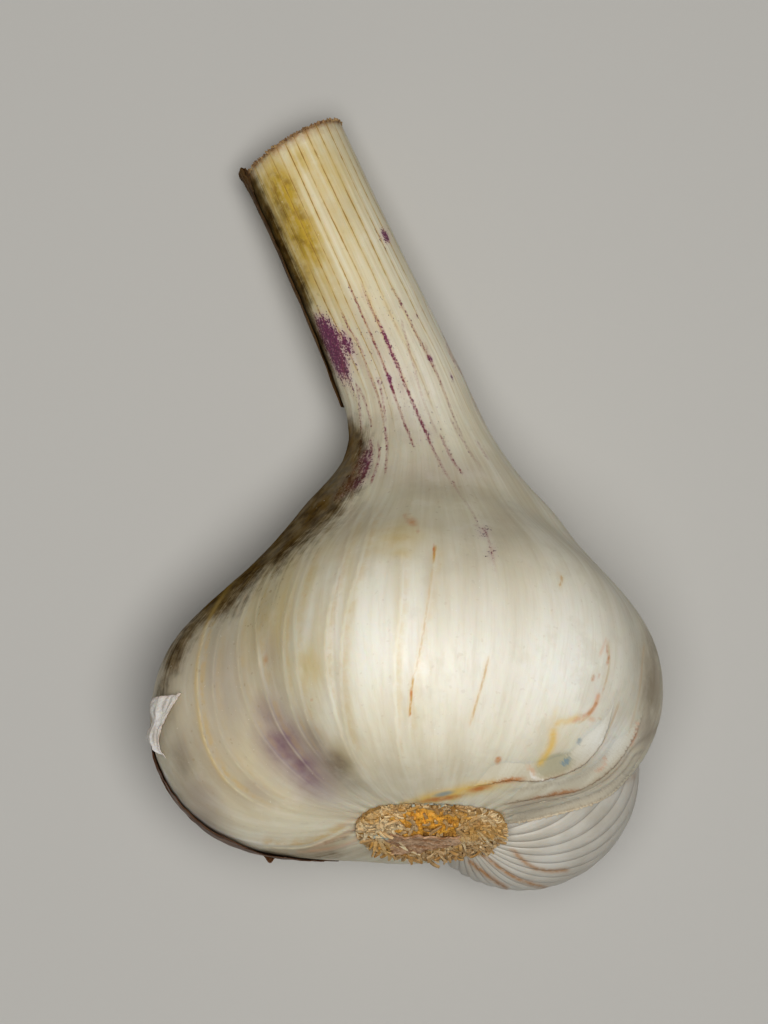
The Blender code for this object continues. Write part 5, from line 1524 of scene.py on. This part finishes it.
# the loose shred beside the root plate
R, C = 60, 24
v = np.linspace(0, 1, R)[:, None] + np.zeros((1, C))
u = np.linspace(0, 1, C)[None] + np.zeros((R, 1))
turns = -146.0 + 42.0 * v
stations = -55.0 + 3.0 * v + (8.0 - 3.0 * v) * u
lift = 0.5 + 1.2 * (1 - u) * v + 0.25 * noise(np.stack([u * 3, v * 9, 0 * u], -1))
shred = leaf("loose_shred", turns, stations, lift, 0.08, node="skin_shred", material=REMNANT)

# ---------------------------------------------------------------- floor, lights, camera
# a round sweep: a flat disc that curves up into a low wall, so every view has a plain pale ground behind it
FLOOR_RADIUS, WALL_RADIUS, WALL_HEIGHT = 1.3, 0.5, 1.0
profile = [(0.0, 0.0), (0.25, 0.0), (FLOOR_RADIUS, 0.0)]
profile += [(FLOOR_RADIUS + WALL_RADIUS * sin(t), WALL_RADIUS * (1 - cos(t))) for t in np.linspace(0, pi / 2, 14)[1:]]
profile.append((FLOOR_RADIUS + WALL_RADIUS, WALL_HEIGHT))
sweep = bpy.data.meshes.new("floor")
sweep.from_pydata([(r, 0.0, z) for r, z in profile], [(i, i + 1) for i in range(len(profile) - 1)], [])
floor = bpy.data.objects.new("floor", sweep)
bpy.context.scene.collection.objects.link(floor)
turned = floor.modifiers.new("turned", "SCREW")
turned.axis, turned.steps, turned.render_steps, turned.use_merge_vertices, turned.use_smooth_shade = "Z", 96, 96, True, True
ground = Nodes("pale_floor")
floor.data.materials.append(ground.finish((0.52, 0.515, 0.50), 0.9, specular=0.1))


def aim(obj, place, target):
    obj.location = place
    obj.rotation_euler = (Vector(target) - Vector(place)).to_track_quat("-Z", "Y").to_euler()


def area_light(name, place, target, size, power, colour):
    data = bpy.data.lights.new(name, "AREA")
    data.shape, data.size, data.energy, data.color = "DISK", size, power, colour
    obj = bpy.data.objects.new(name, data)
    bpy.context.scene.collection.objects.link(obj)
    aim(obj, place, target)
    return obj


area_light("near_softbox", (0.0, -0.02, 0.44), (0.0, 0.0, 0.03), 0.24, 1.1, (1.0, 0.985, 0.95))
sun_data = bpy.data.lights.new("far_softbox", "SUN")
sun_data.energy, sun_data.angle, sun_data.color = 1.15, radians(24.0), (1.0, 0.98, 0.95)
sun = bpy.data.objects.new("far_softbox", sun_data)
bpy.context.scene.collection.objects.link(sun)
aim(sun, (0.17, -0.03, 1.0), (0.0, 0.0, 0.0))
world = bpy.data.worlds.new("studio")
bpy.context.scene.world = world
world.use_nodes = True
world.node_tree.nodes["Background"].inputs[0].default_value = (1.0, 1.0, 1.0, 1.0)
world.node_tree.nodes["Background"].inputs[1].default_value = 0.06

camera_data = bpy.data.cameras.new("camera")
camera_data.lens, camera_data.sensor_width = 100.0, 36.0
camera = bpy.data.objects.new("camera", camera_data)
bpy.context.scene.collection.objects.link(camera)
camera.location = ((-CENTRE[0]) * MM, (-CENTRE[1]) * MM, EYE * MM)
camera.rotation_euler = (0.0, 0.0, 0.0)
camera_data.clip_start, camera_data.clip_end = 0.01, 20.0
bpy.context.scene.camera = camera
bpy.context.scene.view_settings.view_transform = "Standard"
bpy.context.scene.view_settings.gamma = 0.86
